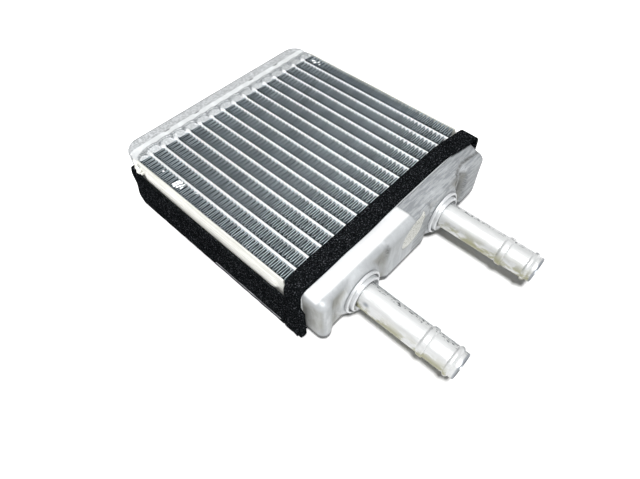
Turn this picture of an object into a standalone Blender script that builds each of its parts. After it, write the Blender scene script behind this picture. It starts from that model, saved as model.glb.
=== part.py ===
"""An aluminium heater core: flat tubes and folded fins between two tanks, with two hose pipes.

The core lies flat: X runs from the return tank to the ends of the pipes, Y across the tubes
and Z up. The origin is the middle of the underside. Two plates close the sides, a foam band
goes round the header at the pipe end, and a foam strip is stuck to the front side.
"""

from math import cos, pi, radians, sin, sqrt

import bmesh
import bpy
from mathutils import Matrix

MM = 0.001

# Clearance between pieces that touch
GAP = 0.3 * MM

# Flat tubes
TUBE_COUNT = 15
TUBE_PITCH = 9.7 * MM
TUBE_THICKNESS = 1.8 * MM
TUBE_BELOW_FINS = 0.5 * MM
TUBE_WALL = 0.35 * MM

# Folded fins, one row beside each tube
FIN_LENGTH = 127.0 * MM
FIN_DEPTH = 37.0 * MM
FIN_LEGS = 56
FIN_SHEET = 0.25 * MM

# Header plates, with a ferrule round each tube and a scallop between ferrules
HEADER_CLEARANCE = 1.5 * MM
HEADER_SHEET = 1.5 * MM
FERRULE_WALL = 0.5 * MM
SCALLOP_DEPTH = 3.8 * MM
RIM_DEPTH = 4.8 * MM
RIM_WALL = 1.0 * MM
RIM_PROUD = 1.0 * MM
RIM_CORNER = 4.5 * MM

# Stake windows in the rim at the return end
STAKE_SPACING = 2.5
STAKE_LENGTH = 3.2 * MM
STAKE_WIDTH = 1.2 * MM
STAKE_EDGE = 0.7 * MM

# Side plates, each with one pressed rib and a tab at its return end
SIDE_SHEET = 1.2 * MM
RIB_BELOW_TOP = 6.5 * MM
RIB_WIDTH = 6.5 * MM
RIB_PROUD = 1.2 * MM
RIB_INSET = 4.0 * MM
TAB_TOP = 4.2 * MM
TAB_REACH = 4.0 * MM
TAB_FOOT = 3.0 * MM

# Tanks, pressed trays that open towards the fins
TANK_WALL = 1.2 * MM
TANK_CORNER = 5.0 * MM
RETURN_TANK_REACH = 6.9 * MM
PIPE_TANK_REACH = 14.2 * MM
PAD_PROUD = 2.4 * MM
PAD_CORNER = 6.0 * MM
PAD_INSET = 0.3 * MM
FRONT_LOBE = 8.0 * MM
REAR_LOBE = 20.5 * MM
PAD_CLEARANCE = 5.0 * MM
BOSS_RADIUS = 16.6 * MM
BOSS_CHAMFER = 1.6 * MM
CREASE_WIDTH = 1.2 * MM
CREASE_DEPTH = 0.9 * MM
CREASE_LENGTH = 7.0 * MM
BAFFLE_THICKNESS = 1.5 * MM

# Hose pipes, with a bead that holds the hose and a flared nose
PIPE_OUTER_RADIUS = 8.0 * MM
PIPE_WALL = 1.2 * MM
PIPE_FROM_FRONT = 31.2 * MM
PIPE_FROM_REAR = 48.7 * MM
PIPE_LENGTH = 63.2 * MM
PIPE_INSIDE = 4.0 * MM
BEAD_HEIGHT = 0.8 * MM
BEAD_FROM_NOSE = 19.8 * MM
BEAD_LENGTH = 4.8 * MM
FLARE_LENGTH = 5.4 * MM
FLARE_FLAT = 1.9 * MM
NOSE_INSET = 0.5 * MM
PIPE_STEPS = 24

# Collars round the foot of each pipe
COLLAR_RADIUS = 13.8 * MM
COLLAR_THICKNESS = 1.7 * MM
COLLAR_ROUND = 0.8 * MM
HUB_WALL = 1.3 * MM
HUB_HEIGHT = 3.6 * MM

# Foam, stuck on in strips
FOAM_THICKNESS = 2.2 * MM
BAND_WIDTH = 10.8 * MM
BAND_START = 0.6 * MM
BAND_TAIL = 2.8 * MM
BAND_TAIL_TOP = 12.0 * MM
STRIP_TOP = 10.4 * MM
STRIP_BELOW = 0.5 * MM
STRIP_PAST_FINS = 9.5 * MM
STRIP_EAR_TOP = 5.5 * MM

# Places that follow from the sizes above
CORE_HALF_WIDTH = (TUBE_COUNT + 1) * TUBE_PITCH / 2
PLATE_INNER_Y = CORE_HALF_WIDTH - TUBE_THICKNESS / 2
HALF_WIDTH = PLATE_INNER_Y + SIDE_SHEET
RIM_HEIGHT = FIN_DEPTH + 2 * RIM_PROUD
HEADER_BACK = SCALLOP_DEPTH + HEADER_SHEET
HEADER_DEPTH = HEADER_BACK + RIM_DEPTH
CORE_Z = FOAM_THICKNESS + GAP + RIM_HEIGHT / 2
CORE_TOP = CORE_Z + FIN_DEPTH / 2
END_OF_RIM = HEADER_CLEARANCE + HEADER_DEPTH
LENGTH = FIN_LENGTH + 2 * END_OF_RIM + RETURN_TANK_REACH + PIPE_TANK_REACH + PIPE_LENGTH
FIN_START = END_OF_RIM + RETURN_TANK_REACH - LENGTH / 2
FIN_END = FIN_START + FIN_LENGTH
RIM_END = FIN_END + END_OF_RIM
TANK_FACE = RIM_END + PIPE_TANK_REACH
TUBE_DEPTH = FIN_DEPTH - 2 * TUBE_BELOW_FINS
TUBE_LENGTH = FIN_LENGTH + 2 * (HEADER_CLEARANCE + HEADER_BACK)
TRAY_HALF_WIDTH = HALF_WIDTH - RIM_WALL - GAP
TRAY_HEIGHT = RIM_HEIGHT - 2 * (RIM_WALL + GAP)
FRONT_PIPE_Y = PIPE_FROM_FRONT - CORE_HALF_WIDTH
REAR_PIPE_Y = CORE_HALF_WIDTH - PIPE_FROM_REAR
BAFFLE_Y = TUBE_PITCH / 2
BAND_X = FIN_END + BAND_START
TAB_START = FIN_START - HEADER_CLEARANCE - TAB_REACH
TAB_HEIGHT = STRIP_TOP - TAB_TOP - 3 * GAP
OVERSHOOT = 1.0 * MM


def clear_scene():
    """Removes every object that the scene holds."""
    for old in list(bpy.data.objects):
        bpy.data.objects.remove(old, do_unlink=True)


def new_collection(name):
    """A collection of this name, linked to the scene."""
    collection = bpy.data.collections.new(name)
    bpy.context.scene.collection.children.link(collection)
    return collection


def new_material(name, colour, roughness, metallic):
    """A plain surface of one colour."""
    material = bpy.data.materials.new(name)
    material.use_nodes = True
    surface = material.node_tree.nodes["Principled BSDF"]
    surface.inputs["Base Color"].default_value = (*colour, 1.0)
    surface.inputs["Roughness"].default_value = roughness
    surface.inputs["Metallic"].default_value = metallic
    return material


clear_scene()
PARTS = new_collection("heater_core")
CUTTERS = new_collection("cutters")
BRIGHT = new_material("bright_aluminium", (0.78, 0.79, 0.79), 0.35, 0.9)
PRESSED = new_material("pressed_aluminium", (0.66, 0.68, 0.69), 0.45, 0.9)
PLATED = new_material("side_plate_aluminium", (0.80, 0.81, 0.76), 0.5, 0.7)
FIN_METAL = new_material("fin_aluminium", (0.42, 0.46, 0.48), 0.45, 0.9)
FOAM = new_material("black_foam", (0.015, 0.016, 0.018), 0.95, 0.0)


def add_part(name, data, material):
    """An object of the heater core."""
    part = bpy.data.objects.new(name, data)
    PARTS.objects.link(part)
    if not data.materials:
        data.materials.append(material)
    return part


def add_cutter(name, data):
    """A helper that is cut from a part or joined to it, and isn't one itself."""
    cutter = bpy.data.objects.new(name, data)
    CUTTERS.objects.link(cutter)
    cutter.hide_render = True
    cutter.display_type = "WIRE"
    return cutter


def combine(part, other, operation):
    """Adds a Boolean modifier that joins the other object to the part, or cuts with it."""
    boolean = part.modifiers.new(other.name, "BOOLEAN")
    boolean.operation = operation
    boolean.object = other


def shade_round(mesh, angle=35):
    """Shades the mesh smooth, apart from its sharp edges."""
    mesh.shade_smooth()
    mesh.set_sharp_from_angle(angle=radians(angle))


def box_mesh(name, low, high, corner=0.0, rounded=None, segments=3):
    """A box between two corners. rounded picks the edges to round, from their two ends."""
    shape = bmesh.new()
    bmesh.ops.create_cube(shape, size=1.0)
    for vertex in shape.verts:
        for axis in range(3):
            middle = (low[axis] + high[axis]) / 2
            vertex.co[axis] = middle + vertex.co[axis] * (high[axis] - low[axis])
    if corner:
        edges = [e for e in shape.edges if rounded is None or rounded(*[v.co for v in e.verts])]
        bmesh.ops.bevel(
            shape, geom=edges, offset=corner, offset_type="OFFSET", segments=segments,
            profile=0.5, affect="EDGES", clamp_overlap=True,
        )
    mesh = bpy.data.meshes.new(name)
    shape.to_mesh(mesh)
    shape.free()
    return mesh


def outline_curve(name, outlines, depth):
    """A flat closed outline in XY, with any holes, made solid by a depth along Z."""
    curve = bpy.data.curves.new(name, "CURVE")
    curve.dimensions = "2D"
    curve.fill_mode = "BOTH"
    curve.extrude = depth / 2
    for points in outlines:
        spline = curve.splines.new("POLY")
        spline.points.add(len(points) - 1)
        for place, (x, y) in zip(spline.points, points):
            place.co = (x, y, 0.0, 1.0)
        spline.use_cyclic_u = True
    return curve


def outline_mesh(name, outlines, depth, place):
    """The solid of an outline as a mesh, welded where its caps meet its sides."""
    curve = outline_curve(name, outlines, depth)
    guide = bpy.data.objects.new(name, curve)
    CUTTERS.objects.link(guide)
    bpy.context.view_layer.update()
    mesh = bpy.data.meshes.new_from_object(guide.evaluated_get(bpy.context.evaluated_depsgraph_get()))
    mesh.name = name
    bpy.data.objects.remove(guide)
    bpy.data.curves.remove(curve)
    shape = bmesh.new()
    shape.from_mesh(mesh)
    bmesh.ops.remove_doubles(shape, verts=shape.verts, dist=0.001 * MM)
    shape.transform(place)
    bmesh.ops.recalc_face_normals(shape, faces=shape.faces)
    if shape.calc_volume(signed=True) < 0:
        bmesh.ops.reverse_faces(shape, faces=shape.faces)
    shape.to_mesh(mesh)
    shape.free()
    return mesh


# An outline drawn in XY lies across the tubes after this turn: its X is Y, and its Y is Z
ACROSS = Matrix(((0, 0, 1, 0), (1, 0, 0, 0), (0, 1, 0, 0), (0, 0, 0, 1)))
# After this turn it stands along the side: its X stays X, and its Y is Z
ALONG = Matrix.Rotation(radians(90), 4, "X")


def stadium(length, width, steps=3):
    """The outline of a slot with round ends, its length along Y."""
    radius = width / 2
    straight = length / 2 - radius
    points = []
    for sign in (1, -1):
        for step in range(steps + 1):
            angle = pi * step / steps
            points.append((sign * radius * cos(angle), sign * (straight + radius * sin(angle))))
    return points


def rounded_rectangle(width, height, radius, steps=4):
    """The outline of a rectangle with round corners, about its middle."""
    points = []
    for corner, (side, level) in enumerate(((1, 1), (-1, 1), (-1, -1), (1, -1))):
        for step in range(steps + 1):
            angle = pi / 2 * (corner + step / steps)
            x = side * (width / 2 - radius) + radius * cos(angle)
            y = level * (height / 2 - radius) + radius * sin(angle)
            points.append((x, y))
    return points


def tube_y(number):
    """The middle of a tube, counted from 0 at the front."""
    return (number + 1) * TUBE_PITCH - CORE_HALF_WIDTH


def make_tubes():
    """Hollow flat tubes that reach through both header plates, flush with their backs."""
    outer = stadium(TUBE_DEPTH, TUBE_THICKNESS)
    inner = stadium(TUBE_DEPTH - 2 * TUBE_WALL, TUBE_THICKNESS - 2 * TUBE_WALL)
    mesh = outline_mesh("flat_tube", (outer, inner), TUBE_LENGTH, ACROSS)
    shade_round(mesh)
    for number in range(TUBE_COUNT):
        tube = add_part(f"tube_{number + 1:02d}", mesh, BRIGHT)
        tube.location = ((FIN_START + FIN_END) / 2, tube_y(number), CORE_Z)


def make_fins():
    """Folded strips that fill the space beside each tube."""
    leg_pitch = (FIN_LENGTH - 2 * GAP) / FIN_LEGS
    height = TUBE_PITCH - TUBE_THICKNESS - 2 * GAP
    # A sharp fold reaches past the middle of the sheet by this much at its point
    miter = FIN_SHEET / 2 * sqrt(1 + (height / leg_pitch) ** 2)
    fold = height / 2 - miter
    shape = bmesh.new()
    rows = []
    for number in range(FIN_LEGS + 1):
        x = number * leg_pitch - FIN_LEGS * leg_pitch / 2
        side = 1 if number % 2 else -1
        rows.append([
            shape.verts.new((x, side * (fold + edge * miter), level * FIN_DEPTH / 2))
            for edge, level in ((side, -1), (side, 1), (-side, 1), (-side, -1))
        ])
    for here, beyond in zip(rows, rows[1:]):
        for corner in range(4):
            after = (corner + 1) % 4
            shape.faces.new((here[corner], here[after], beyond[after], beyond[corner]))
    shape.faces.new(rows[0])
    shape.faces.new(rows[-1])
    bmesh.ops.recalc_face_normals(shape, faces=shape.faces)
    mesh = bpy.data.meshes.new("folded_fin")
    shape.to_mesh(mesh)
    shape.free()
    for number in range(TUBE_COUNT + 1):
        fin = add_part(f"fin_{number + 1:02d}", mesh, FIN_METAL)
        fin.location = ((FIN_START + FIN_END) / 2, tube_y(number - 0.5), CORE_Z)


def header_outline():
    """The header plate from above: scallops between the tubes, and a flat back."""
    half_scallop = (TUBE_PITCH - TUBE_THICKNESS) / 2 - GAP - FERRULE_WALL
    steps = 6
    points = [(-HEADER_DEPTH, HALF_WIDTH), (-HEADER_DEPTH, -HALF_WIDTH), (0.0, -HALF_WIDTH)]
    for number in range(TUBE_COUNT + 1):
        middle = tube_y(number - 0.5)
        for step in range(steps + 1):
            angle = pi * step / steps
            points.append((-SCALLOP_DEPTH * sin(angle), middle - half_scallop * cos(angle)))
    points.append((0.0, HALF_WIDTH))
    return points


def make_header(name, face_x, turn, staked):
    """A header plate whose ferrules face the fins, with a rim round the tank."""
    block = outline_mesh(name, (header_outline(),), RIM_HEIGHT, Matrix.Identity(4))
    header = add_part(name, block, PRESSED)
    outside = rounded_rectangle(2 * HALF_WIDTH, RIM_HEIGHT, RIM_CORNER)
    middle = Matrix.Translation((-HEADER_DEPTH / 2, 0.0, 0.0)) @ ACROSS
    envelope = add_cutter(
        f"{name}_envelope", outline_mesh(f"{name}_envelope", (outside,), 2 * HEADER_DEPTH, middle)
    )
    inside = rounded_rectangle(
        2 * (HALF_WIDTH - RIM_WALL), RIM_HEIGHT - 2 * RIM_WALL, RIM_CORNER - RIM_WALL
    )
    pocket_depth = RIM_DEPTH + OVERSHOOT
    back = Matrix.Translation((-HEADER_BACK - pocket_depth / 2, 0.0, 0.0)) @ ACROSS
    pocket = add_cutter(
        f"{name}_pocket", outline_mesh(f"{name}_pocket", (inside,), pocket_depth, back)
    )
    slot = stadium(TUBE_DEPTH + 2 * GAP, TUBE_THICKNESS + 2 * GAP)
    through = Matrix.Translation((-HEADER_BACK / 2, tube_y(0), 0.0)) @ ACROSS
    slots = add_cutter(
        f"{name}_slots", outline_mesh(f"{name}_slots", (slot,), 2 * HEADER_BACK, through)
    )
    row = slots.modifiers.new("row", "ARRAY")
    row.count = TUBE_COUNT
    row.use_relative_offset = False
    row.use_constant_offset = True
    row.constant_offset_displace = (0.0, TUBE_PITCH, 0.0)
    combine(header, envelope, "INTERSECT")
    combine(header, pocket, "DIFFERENCE")
    combine(header, slots, "DIFFERENCE")
    if staked:
        combine(header, stake_windows(f"{name}_stakes"), "DIFFERENCE")
    for piece in (header, *CUTTERS.objects):
        if piece.name.startswith(name):
            piece.location = (face_x, 0.0, CORE_Z)
            piece.rotation_euler.z = turn


def stake_windows(name):
    """Four windows near the edge of the rim's top, and four below them."""
    shape = bmesh.new()
    edge = -HEADER_DEPTH + STAKE_EDGE + STAKE_WIDTH / 2
    for step in (-2, -1, 1, 2):
        for level in (-1, 1):
            place = (edge, step * STAKE_SPACING * TUBE_PITCH, level * RIM_HEIGHT / 2)
            size = (STAKE_WIDTH, STAKE_LENGTH, 2 * RIM_WALL + OVERSHOOT)
            bmesh.ops.create_cube(
                shape, size=1.0, matrix=Matrix.Translation(place) @ Matrix.Diagonal((*size, 1.0))
            )
    mesh = bpy.data.meshes.new(name)
    shape.to_mesh(mesh)
    shape.free()
    return add_cutter(name, mesh)


def make_side_plate(name, side):
    """A flat plate beside the outer fins, with a pressed rib and a tab over the header rim."""
    start = FIN_START - HEADER_CLEARANCE + GAP
    end = BAND_X - GAP
    low = (start, PLATE_INNER_Y, CORE_Z - FIN_DEPTH / 2)
    high = (end, HALF_WIDTH, CORE_TOP)
    plate = add_part(name, box_mesh(name, low, high), PLATED)
    rib_length = FIN_LENGTH - 2 * RIB_INSET
    rib_place = ((FIN_START + FIN_END) / 2, 0.0, CORE_TOP - RIB_BELOW_TOP)

    def rib(label, inset, from_y, to_y):
        """The rib's form between two levels, smaller by an inset."""
        outline = [(y, x) for x, y in stadium(rib_length - 2 * inset, RIB_WIDTH - 2 * inset, 6)]
        middle = Matrix.Translation((0.0, (from_y + to_y) / 2, 0.0))
        place = Matrix.Translation(rib_place) @ middle @ ALONG
        return add_cutter(label, outline_mesh(label, (outline,), to_y - from_y, place))

    outer = rib(f"{name}_rib", 0.0, HALF_WIDTH - SIDE_SHEET / 2, HALF_WIDTH + RIB_PROUD)
    inner = rib(
        f"{name}_rib_inside", SIDE_SHEET, PLATE_INNER_Y - OVERSHOOT, PLATE_INNER_Y + RIB_PROUD
    )
    tab_z = CORE_TOP - TAB_TOP
    tab = add_cutter(f"{name}_tab", box_mesh(
        f"{name}_tab",
        (TAB_START, HALF_WIDTH + GAP, tab_z - TAB_HEIGHT),
        (FIN_START + TAB_FOOT, HALF_WIDTH + GAP + SIDE_SHEET, tab_z),
    ))
    foot = add_cutter(f"{name}_foot", box_mesh(
        f"{name}_foot",
        (FIN_START - HEADER_CLEARANCE + 2 * GAP, HALF_WIDTH - SIDE_SHEET / 2,
         tab_z - TAB_HEIGHT + PAD_INSET),
        (FIN_START + TAB_FOOT - PAD_INSET, HALF_WIDTH + GAP + SIDE_SHEET / 2, tab_z - PAD_INSET),
    ))
    combine(tab, foot, "UNION")
    combine(plate, outer, "UNION")
    combine(plate, inner, "DIFFERENCE")
    combine(plate, tab, "UNION")
    for piece in (plate, outer, inner, tab, foot):
        if side < 0:
            piece.data.transform(Matrix.Scale(-1, 4, (0, 1, 0)))
            piece.data.flip_normals()


def tray_mesh(name, reach, inset, corner):
    """The solid form of a tank behind its rim, smaller by an inset. It grows along +X."""
    open_end = -RIM_DEPTH + GAP - (OVERSHOOT if inset else 0.0)
    low = (open_end, -TRAY_HALF_WIDTH + inset, -TRAY_HEIGHT / 2 + inset)
    high = (reach - inset, TRAY_HALF_WIDTH - inset, TRAY_HEIGHT / 2 - inset)

    def away_from_opening(first, second):
        return max(first.x, second.x) > open_end + OVERSHOOT / 2

    return box_mesh(name, low, high, corner - inset, away_from_opening, 1 if inset else 3)


def make_return_tank():
    """A plain pressed tray that turns the flow round at the far end."""
    tank = add_part(
        "return_tank", tray_mesh("return_tank", RETURN_TANK_REACH, 0.0, TANK_CORNER), PRESSED
    )
    inside = add_cutter(
        "return_tank_inside",
        tray_mesh("return_tank_inside", RETURN_TANK_REACH, TANK_WALL, TANK_CORNER),
    )
    combine(tank, inside, "DIFFERENCE")
    for piece in (tank, inside):
        piece.location = (FIN_START - END_OF_RIM, 0.0, CORE_Z)
        piece.rotation_euler.z = pi
        shade_round(piece.data)


def pad_mesh(name, from_y, to_y, inset):
    """A pad on the tank's face between two places, smaller by an inset."""
    low = (TANK_CORNER, from_y + inset, -TRAY_HEIGHT / 2 + PAD_INSET + inset)
    high = (PIPE_TANK_REACH - inset, to_y - inset, TRAY_HEIGHT / 2 - PAD_INSET - inset)

    def on_face(first, second):
        return max(first.x, second.x) > low[0] + OVERSHOOT / 2

    return box_mesh(name, low, high, PAD_CORNER - inset, on_face, 1 if inset else 3)


def boss_mesh(name, y, inset):
    """A round boss on the tank's face, with a chamfered edge, smaller by an inset."""
    shape = bmesh.new()
    radius = BOSS_RADIUS - inset
    base = PIPE_TANK_REACH - PAD_PROUD - TANK_WALL - inset
    depth = PIPE_TANK_REACH - inset - base
    place = Matrix.Translation((base + depth / 2, y, 0.0)) @ Matrix.Rotation(pi / 2, 4, "Y")
    bmesh.ops.create_cone(
        shape, cap_ends=True, segments=PIPE_STEPS, radius1=radius, radius2=radius,
        depth=depth, matrix=place,
    )
    front = [e for e in shape.edges if min(v.co.x for v in e.verts) > base + depth / 2]
    bmesh.ops.bevel(
        shape, geom=front, offset=BOSS_CHAMFER, offset_type="OFFSET", segments=1,
        profile=0.5, affect="EDGES", clamp_overlap=True,
    )
    mesh = bpy.data.meshes.new(name)
    shape.to_mesh(mesh)
    shape.free()
    return mesh


def tank_form(name, inset):
    """The pipe tank's solid form: a tray, a lobe at each end, a middle pad and two bosses."""
    reach = PIPE_TANK_REACH - PAD_PROUD
    body = tray_mesh(name, reach, inset, TANK_CORNER)
    end = TRAY_HALF_WIDTH - PAD_INSET
    pads = (
        ("front_lobe", -end, FRONT_LOBE - CORE_HALF_WIDTH),
        ("middle_pad", FRONT_PIPE_Y + BOSS_RADIUS + PAD_CLEARANCE,
         REAR_PIPE_Y - BOSS_RADIUS - PAD_CLEARANCE),
        ("rear_lobe", CORE_HALF_WIDTH - REAR_LOBE, end),
    )
    forms = [
        add_cutter(f"{name}_{pad}", pad_mesh(f"{name}_{pad}", from_y, to_y, inset))
        for pad, from_y, to_y in pads
    ]
    for boss, y in (("front_boss", FRONT_PIPE_Y), ("rear_boss", REAR_PIPE_Y)):
        forms.append(add_cutter(f"{name}_{boss}", boss_mesh(f"{name}_{boss}", y, inset)))
    return body, forms


def pipe_bore(name, radius, y):
    """A rod along X that cuts a pipe's hole through the tank's face."""
    shape = bmesh.new()
    place = Matrix.Translation((PIPE_TANK_REACH, y, 0.0)) @ Matrix.Rotation(pi / 2, 4, "Y")
    bmesh.ops.create_cone(
        shape, cap_ends=True, segments=PIPE_STEPS, radius1=radius, radius2=radius,
        depth=4 * (TANK_WALL + OVERSHOOT), matrix=place,
    )
    mesh = bpy.data.meshes.new(name)
    shape.to_mesh(mesh)
    shape.free()
    return add_cutter(name, mesh)


def make_pipe_tank():
    """The deeper tray that carries both pipes."""
    outer, outer_forms = tank_form("pipe_tank", 0.0)
    tank = add_part("pipe_tank", outer, PRESSED)
    inner, inner_forms = tank_form("pipe_tank_inside", TANK_WALL)
    inside = add_cutter("pipe_tank_inside", inner)
    crease = add_cutter("pipe_tank_crease", box_mesh(
        "pipe_tank_crease",
        (0.0, -CREASE_WIDTH / 2, TRAY_HEIGHT / 2 - CREASE_DEPTH),
        (CREASE_LENGTH, CREASE_WIDTH / 2, TRAY_HEIGHT / 2 + OVERSHOOT),
    ))
    bores = [
        pipe_bore(f"pipe_tank_{label}_bore", PIPE_OUTER_RADIUS + GAP, y)
        for label, y in (("front", FRONT_PIPE_Y), ("rear", REAR_PIPE_Y))
    ]
    for form in outer_forms:
        combine(tank, form, "UNION")
    for form in inner_forms:
        combine(inside, form, "UNION")
    combine(tank, inside, "DIFFERENCE")
    for cutter in (crease, *bores):
        combine(tank, cutter, "DIFFERENCE")
    for piece in (tank, inside, crease, *bores, *outer_forms, *inner_forms):
        piece.location = (RIM_END, 0.0, CORE_Z)
    for piece in (tank, *outer_forms):
        shade_round(piece.data)


def make_baffle():
    """The plate across the pipe tank, between two tubes, that parts the inlet from the outlet."""
    low = (-RIM_DEPTH + GAP, BAFFLE_Y - BAFFLE_THICKNESS / 2, -TRAY_HEIGHT / 2)
    high = (PIPE_TANK_REACH, BAFFLE_Y + BAFFLE_THICKNESS / 2, TRAY_HEIGHT / 2)
    baffle = add_part("tank_baffle", box_mesh("tank_baffle", low, high), PRESSED)
    body, forms = tank_form("tank_baffle_space", TANK_WALL + GAP)
    space = add_cutter("tank_baffle_space", body)
    for form in forms:
        combine(space, form, "UNION")
    combine(baffle, space, "INTERSECT")
    for piece in (baffle, space, *forms):
        piece.location = (RIM_END, 0.0, CORE_Z)


def turned(name, profile, material, place, steps):
    """A turned ring: a closed profile of (radius, distance along X), spun about X."""
    mesh = bpy.data.meshes.new(name)
    points = [(radius, 0.0, -distance) for radius, distance in profile]
    count = len(points)
    mesh.from_pydata(points, [(i, (i + 1) % count) for i in range(count)], [])
    part = add_part(name, mesh, material)
    part.location = place
    part.rotation_euler = (0.0, -pi / 2, 0.0)
    spin = part.modifiers.new("spin", "SCREW")
    spin.axis = "Z"
    spin.steps = steps
    spin.render_steps = steps
    spin.use_merge_vertices = True
    spin.merge_threshold = 0.01 * MM
    spin.use_smooth_shade = True
    return part


def pipe_profile():
    """The section of a pipe's wall, from its inner end to its nose and back inside."""
    outer = PIPE_OUTER_RADIUS
    bead = outer + BEAD_HEIGHT
    nose = PIPE_LENGTH
    bead_end = nose - BEAD_FROM_NOSE + BEAD_LENGTH / 2
    flare = nose - FLARE_LENGTH
    outside = [
        (outer, -PIPE_INSIDE),
        (outer, bead_end - BEAD_LENGTH),
        (bead, bead_end - BEAD_LENGTH + 2 * BEAD_HEIGHT),
        (bead, bead_end - BEAD_HEIGHT),
        (outer, bead_end),
        (outer, flare),
        (bead, flare + BEAD_HEIGHT),
        (bead, flare + BEAD_HEIGHT + FLARE_FLAT),
        (outer - NOSE_INSET, nose),
    ]
    inside = [(outer - PIPE_WALL, nose), (outer - PIPE_WALL, -PIPE_INSIDE)]
    return outside + inside


def collar_profile():
    """The section of a collar: a flange with a round edge, and a hub against the pipe."""
    bore = PIPE_OUTER_RADIUS + GAP
    hub = bore + HUB_WALL
    return [
        (COLLAR_RADIUS, 0.0),
        (COLLAR_RADIUS, COLLAR_THICKNESS - COLLAR_ROUND),
        (COLLAR_RADIUS - COLLAR_ROUND, COLLAR_THICKNESS),
        (hub, COLLAR_THICKNESS),
        (hub, HUB_HEIGHT - COLLAR_ROUND),
        (hub - COLLAR_ROUND, HUB_HEIGHT),
        (bore, HUB_HEIGHT),
        (bore, 0.0),
    ]


def make_pipes():
    """Two straight pipes, each in a collar on the tank's face."""
    for label, y in (("inlet", FRONT_PIPE_Y), ("outlet", REAR_PIPE_Y)):
        turned(f"{label}_pipe", pipe_profile(), BRIGHT, (TANK_FACE, y, CORE_Z), PIPE_STEPS)
        place = (TANK_FACE + GAP, y, CORE_Z)
        turned(f"{label}_collar", collar_profile(), BRIGHT, place, PIPE_STEPS)


def make_foam_band():
    """A foam strip wrapped round the header's rim, its tail overlapping beside it."""
    half_width = HALF_WIDTH + GAP
    height = RIM_HEIGHT + 2 * GAP
    inner = rounded_rectangle(2 * half_width, height, RIM_CORNER + GAP)
    outer = rounded_rectangle(
        2 * (half_width + FOAM_THICKNESS), height + 2 * FOAM_THICKNESS,
        RIM_CORNER + GAP + FOAM_THICKNESS,
    )
    middle = Matrix.Translation((BAND_X + BAND_WIDTH / 2, 0.0, CORE_Z)) @ ACROSS
    band = add_part(
        "foam_band", outline_mesh("foam_band", (outer, inner), BAND_WIDTH, middle), FOAM
    )
    tail_y = -half_width - FOAM_THICKNESS
    band_end = BAND_X + BAND_WIDTH
    tail = add_cutter("foam_band_tail", box_mesh(
        "foam_band_tail",
        (band_end - BAND_TAIL, tail_y + PAD_INSET, CORE_Z - RIM_HEIGHT / 2 + RIM_CORNER),
        (band_end + BAND_TAIL, tail_y + FOAM_THICKNESS - PAD_INSET, CORE_TOP - BAND_TAIL_TOP),
    ))
    combine(band, tail, "UNION")


def make_foam_strip():
    """A foam strip on the lower part of the front side, with an ear at the return end."""
    start = FIN_START - STRIP_PAST_FINS
    end = BAND_X - GAP
    bottom = CORE_Z - FIN_DEPTH / 2 - STRIP_BELOW
    top = CORE_TOP - STRIP_TOP
    ear = CORE_TOP - STRIP_EAR_TOP
    ear_x = TAB_START - GAP
    slope = (ear_x - start) / 3
    outline = [
        (start, bottom), (end, bottom), (end, top), (ear_x, top), (ear_x, ear),
        (ear_x - slope, ear), (start, ear - 2 * slope),
    ]
    middle = Matrix.Translation((0.0, -HALF_WIDTH - GAP - FOAM_THICKNESS / 2, 0.0)) @ ALONG
    add_part(
        "foam_strip", outline_mesh("foam_strip", (outline,), FOAM_THICKNESS, middle), FOAM
    )


make_tubes()
make_fins()
make_header("return_header", FIN_START - HEADER_CLEARANCE, 0.0, True)
make_header("pipe_header", FIN_END + HEADER_CLEARANCE, pi, False)
make_side_plate("front_side_plate", -1)
make_side_plate("rear_side_plate", 1)
make_return_tank()
make_pipe_tank()
make_baffle()
make_pipes()
make_foam_band()
make_foam_strip()
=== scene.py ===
"""The looks of an aluminium heater core: brazed metal, fine fins, foam seals and a pale studio.

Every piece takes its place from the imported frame, in metres: X from the return tank to the
noses of the pipes, Y across the tubes and Z up.
"""

from functools import cache
from math import cos, hypot, pi, radians, sin, sqrt

import bmesh
import bpy
import numpy as np
from mathutils import Matrix, Vector, noise


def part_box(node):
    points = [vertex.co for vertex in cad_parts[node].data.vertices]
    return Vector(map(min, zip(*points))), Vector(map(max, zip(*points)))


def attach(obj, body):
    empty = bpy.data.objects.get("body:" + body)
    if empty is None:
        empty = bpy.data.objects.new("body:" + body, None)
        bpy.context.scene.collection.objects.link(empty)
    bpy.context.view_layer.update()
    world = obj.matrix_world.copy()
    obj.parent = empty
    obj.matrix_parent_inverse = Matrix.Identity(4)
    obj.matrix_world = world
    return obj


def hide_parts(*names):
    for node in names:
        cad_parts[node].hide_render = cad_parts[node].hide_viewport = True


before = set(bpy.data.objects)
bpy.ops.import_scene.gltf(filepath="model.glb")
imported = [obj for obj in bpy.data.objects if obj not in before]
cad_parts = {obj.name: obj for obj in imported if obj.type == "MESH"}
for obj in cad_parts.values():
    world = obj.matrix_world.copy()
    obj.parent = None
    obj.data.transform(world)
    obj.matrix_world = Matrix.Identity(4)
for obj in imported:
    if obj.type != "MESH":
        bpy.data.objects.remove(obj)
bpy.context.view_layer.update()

MM = 0.001

# A colour with its alpha, and the stretch of a texture that is the same along each axis
WHITE = (1.0, 1.0, 1.0, 1.0)
EVEN = (1.0, 1.0, 1.0)


def mm(*values):
    """Lengths in metres, from lengths in millimetres."""
    return tuple(value * MM for value in values)


# The camera of the photograph: 36 mm wide sensor, place and target in the row frame
CAMERA_PLACE = Vector((129.1, -156.9, 246.1)) * MM
CAMERA_TARGET = Vector((14.2, -36.1, 22.0)) * MM
CAMERA_ROLL = radians(-0.94)
CAMERA_LENS = 26.97

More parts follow.
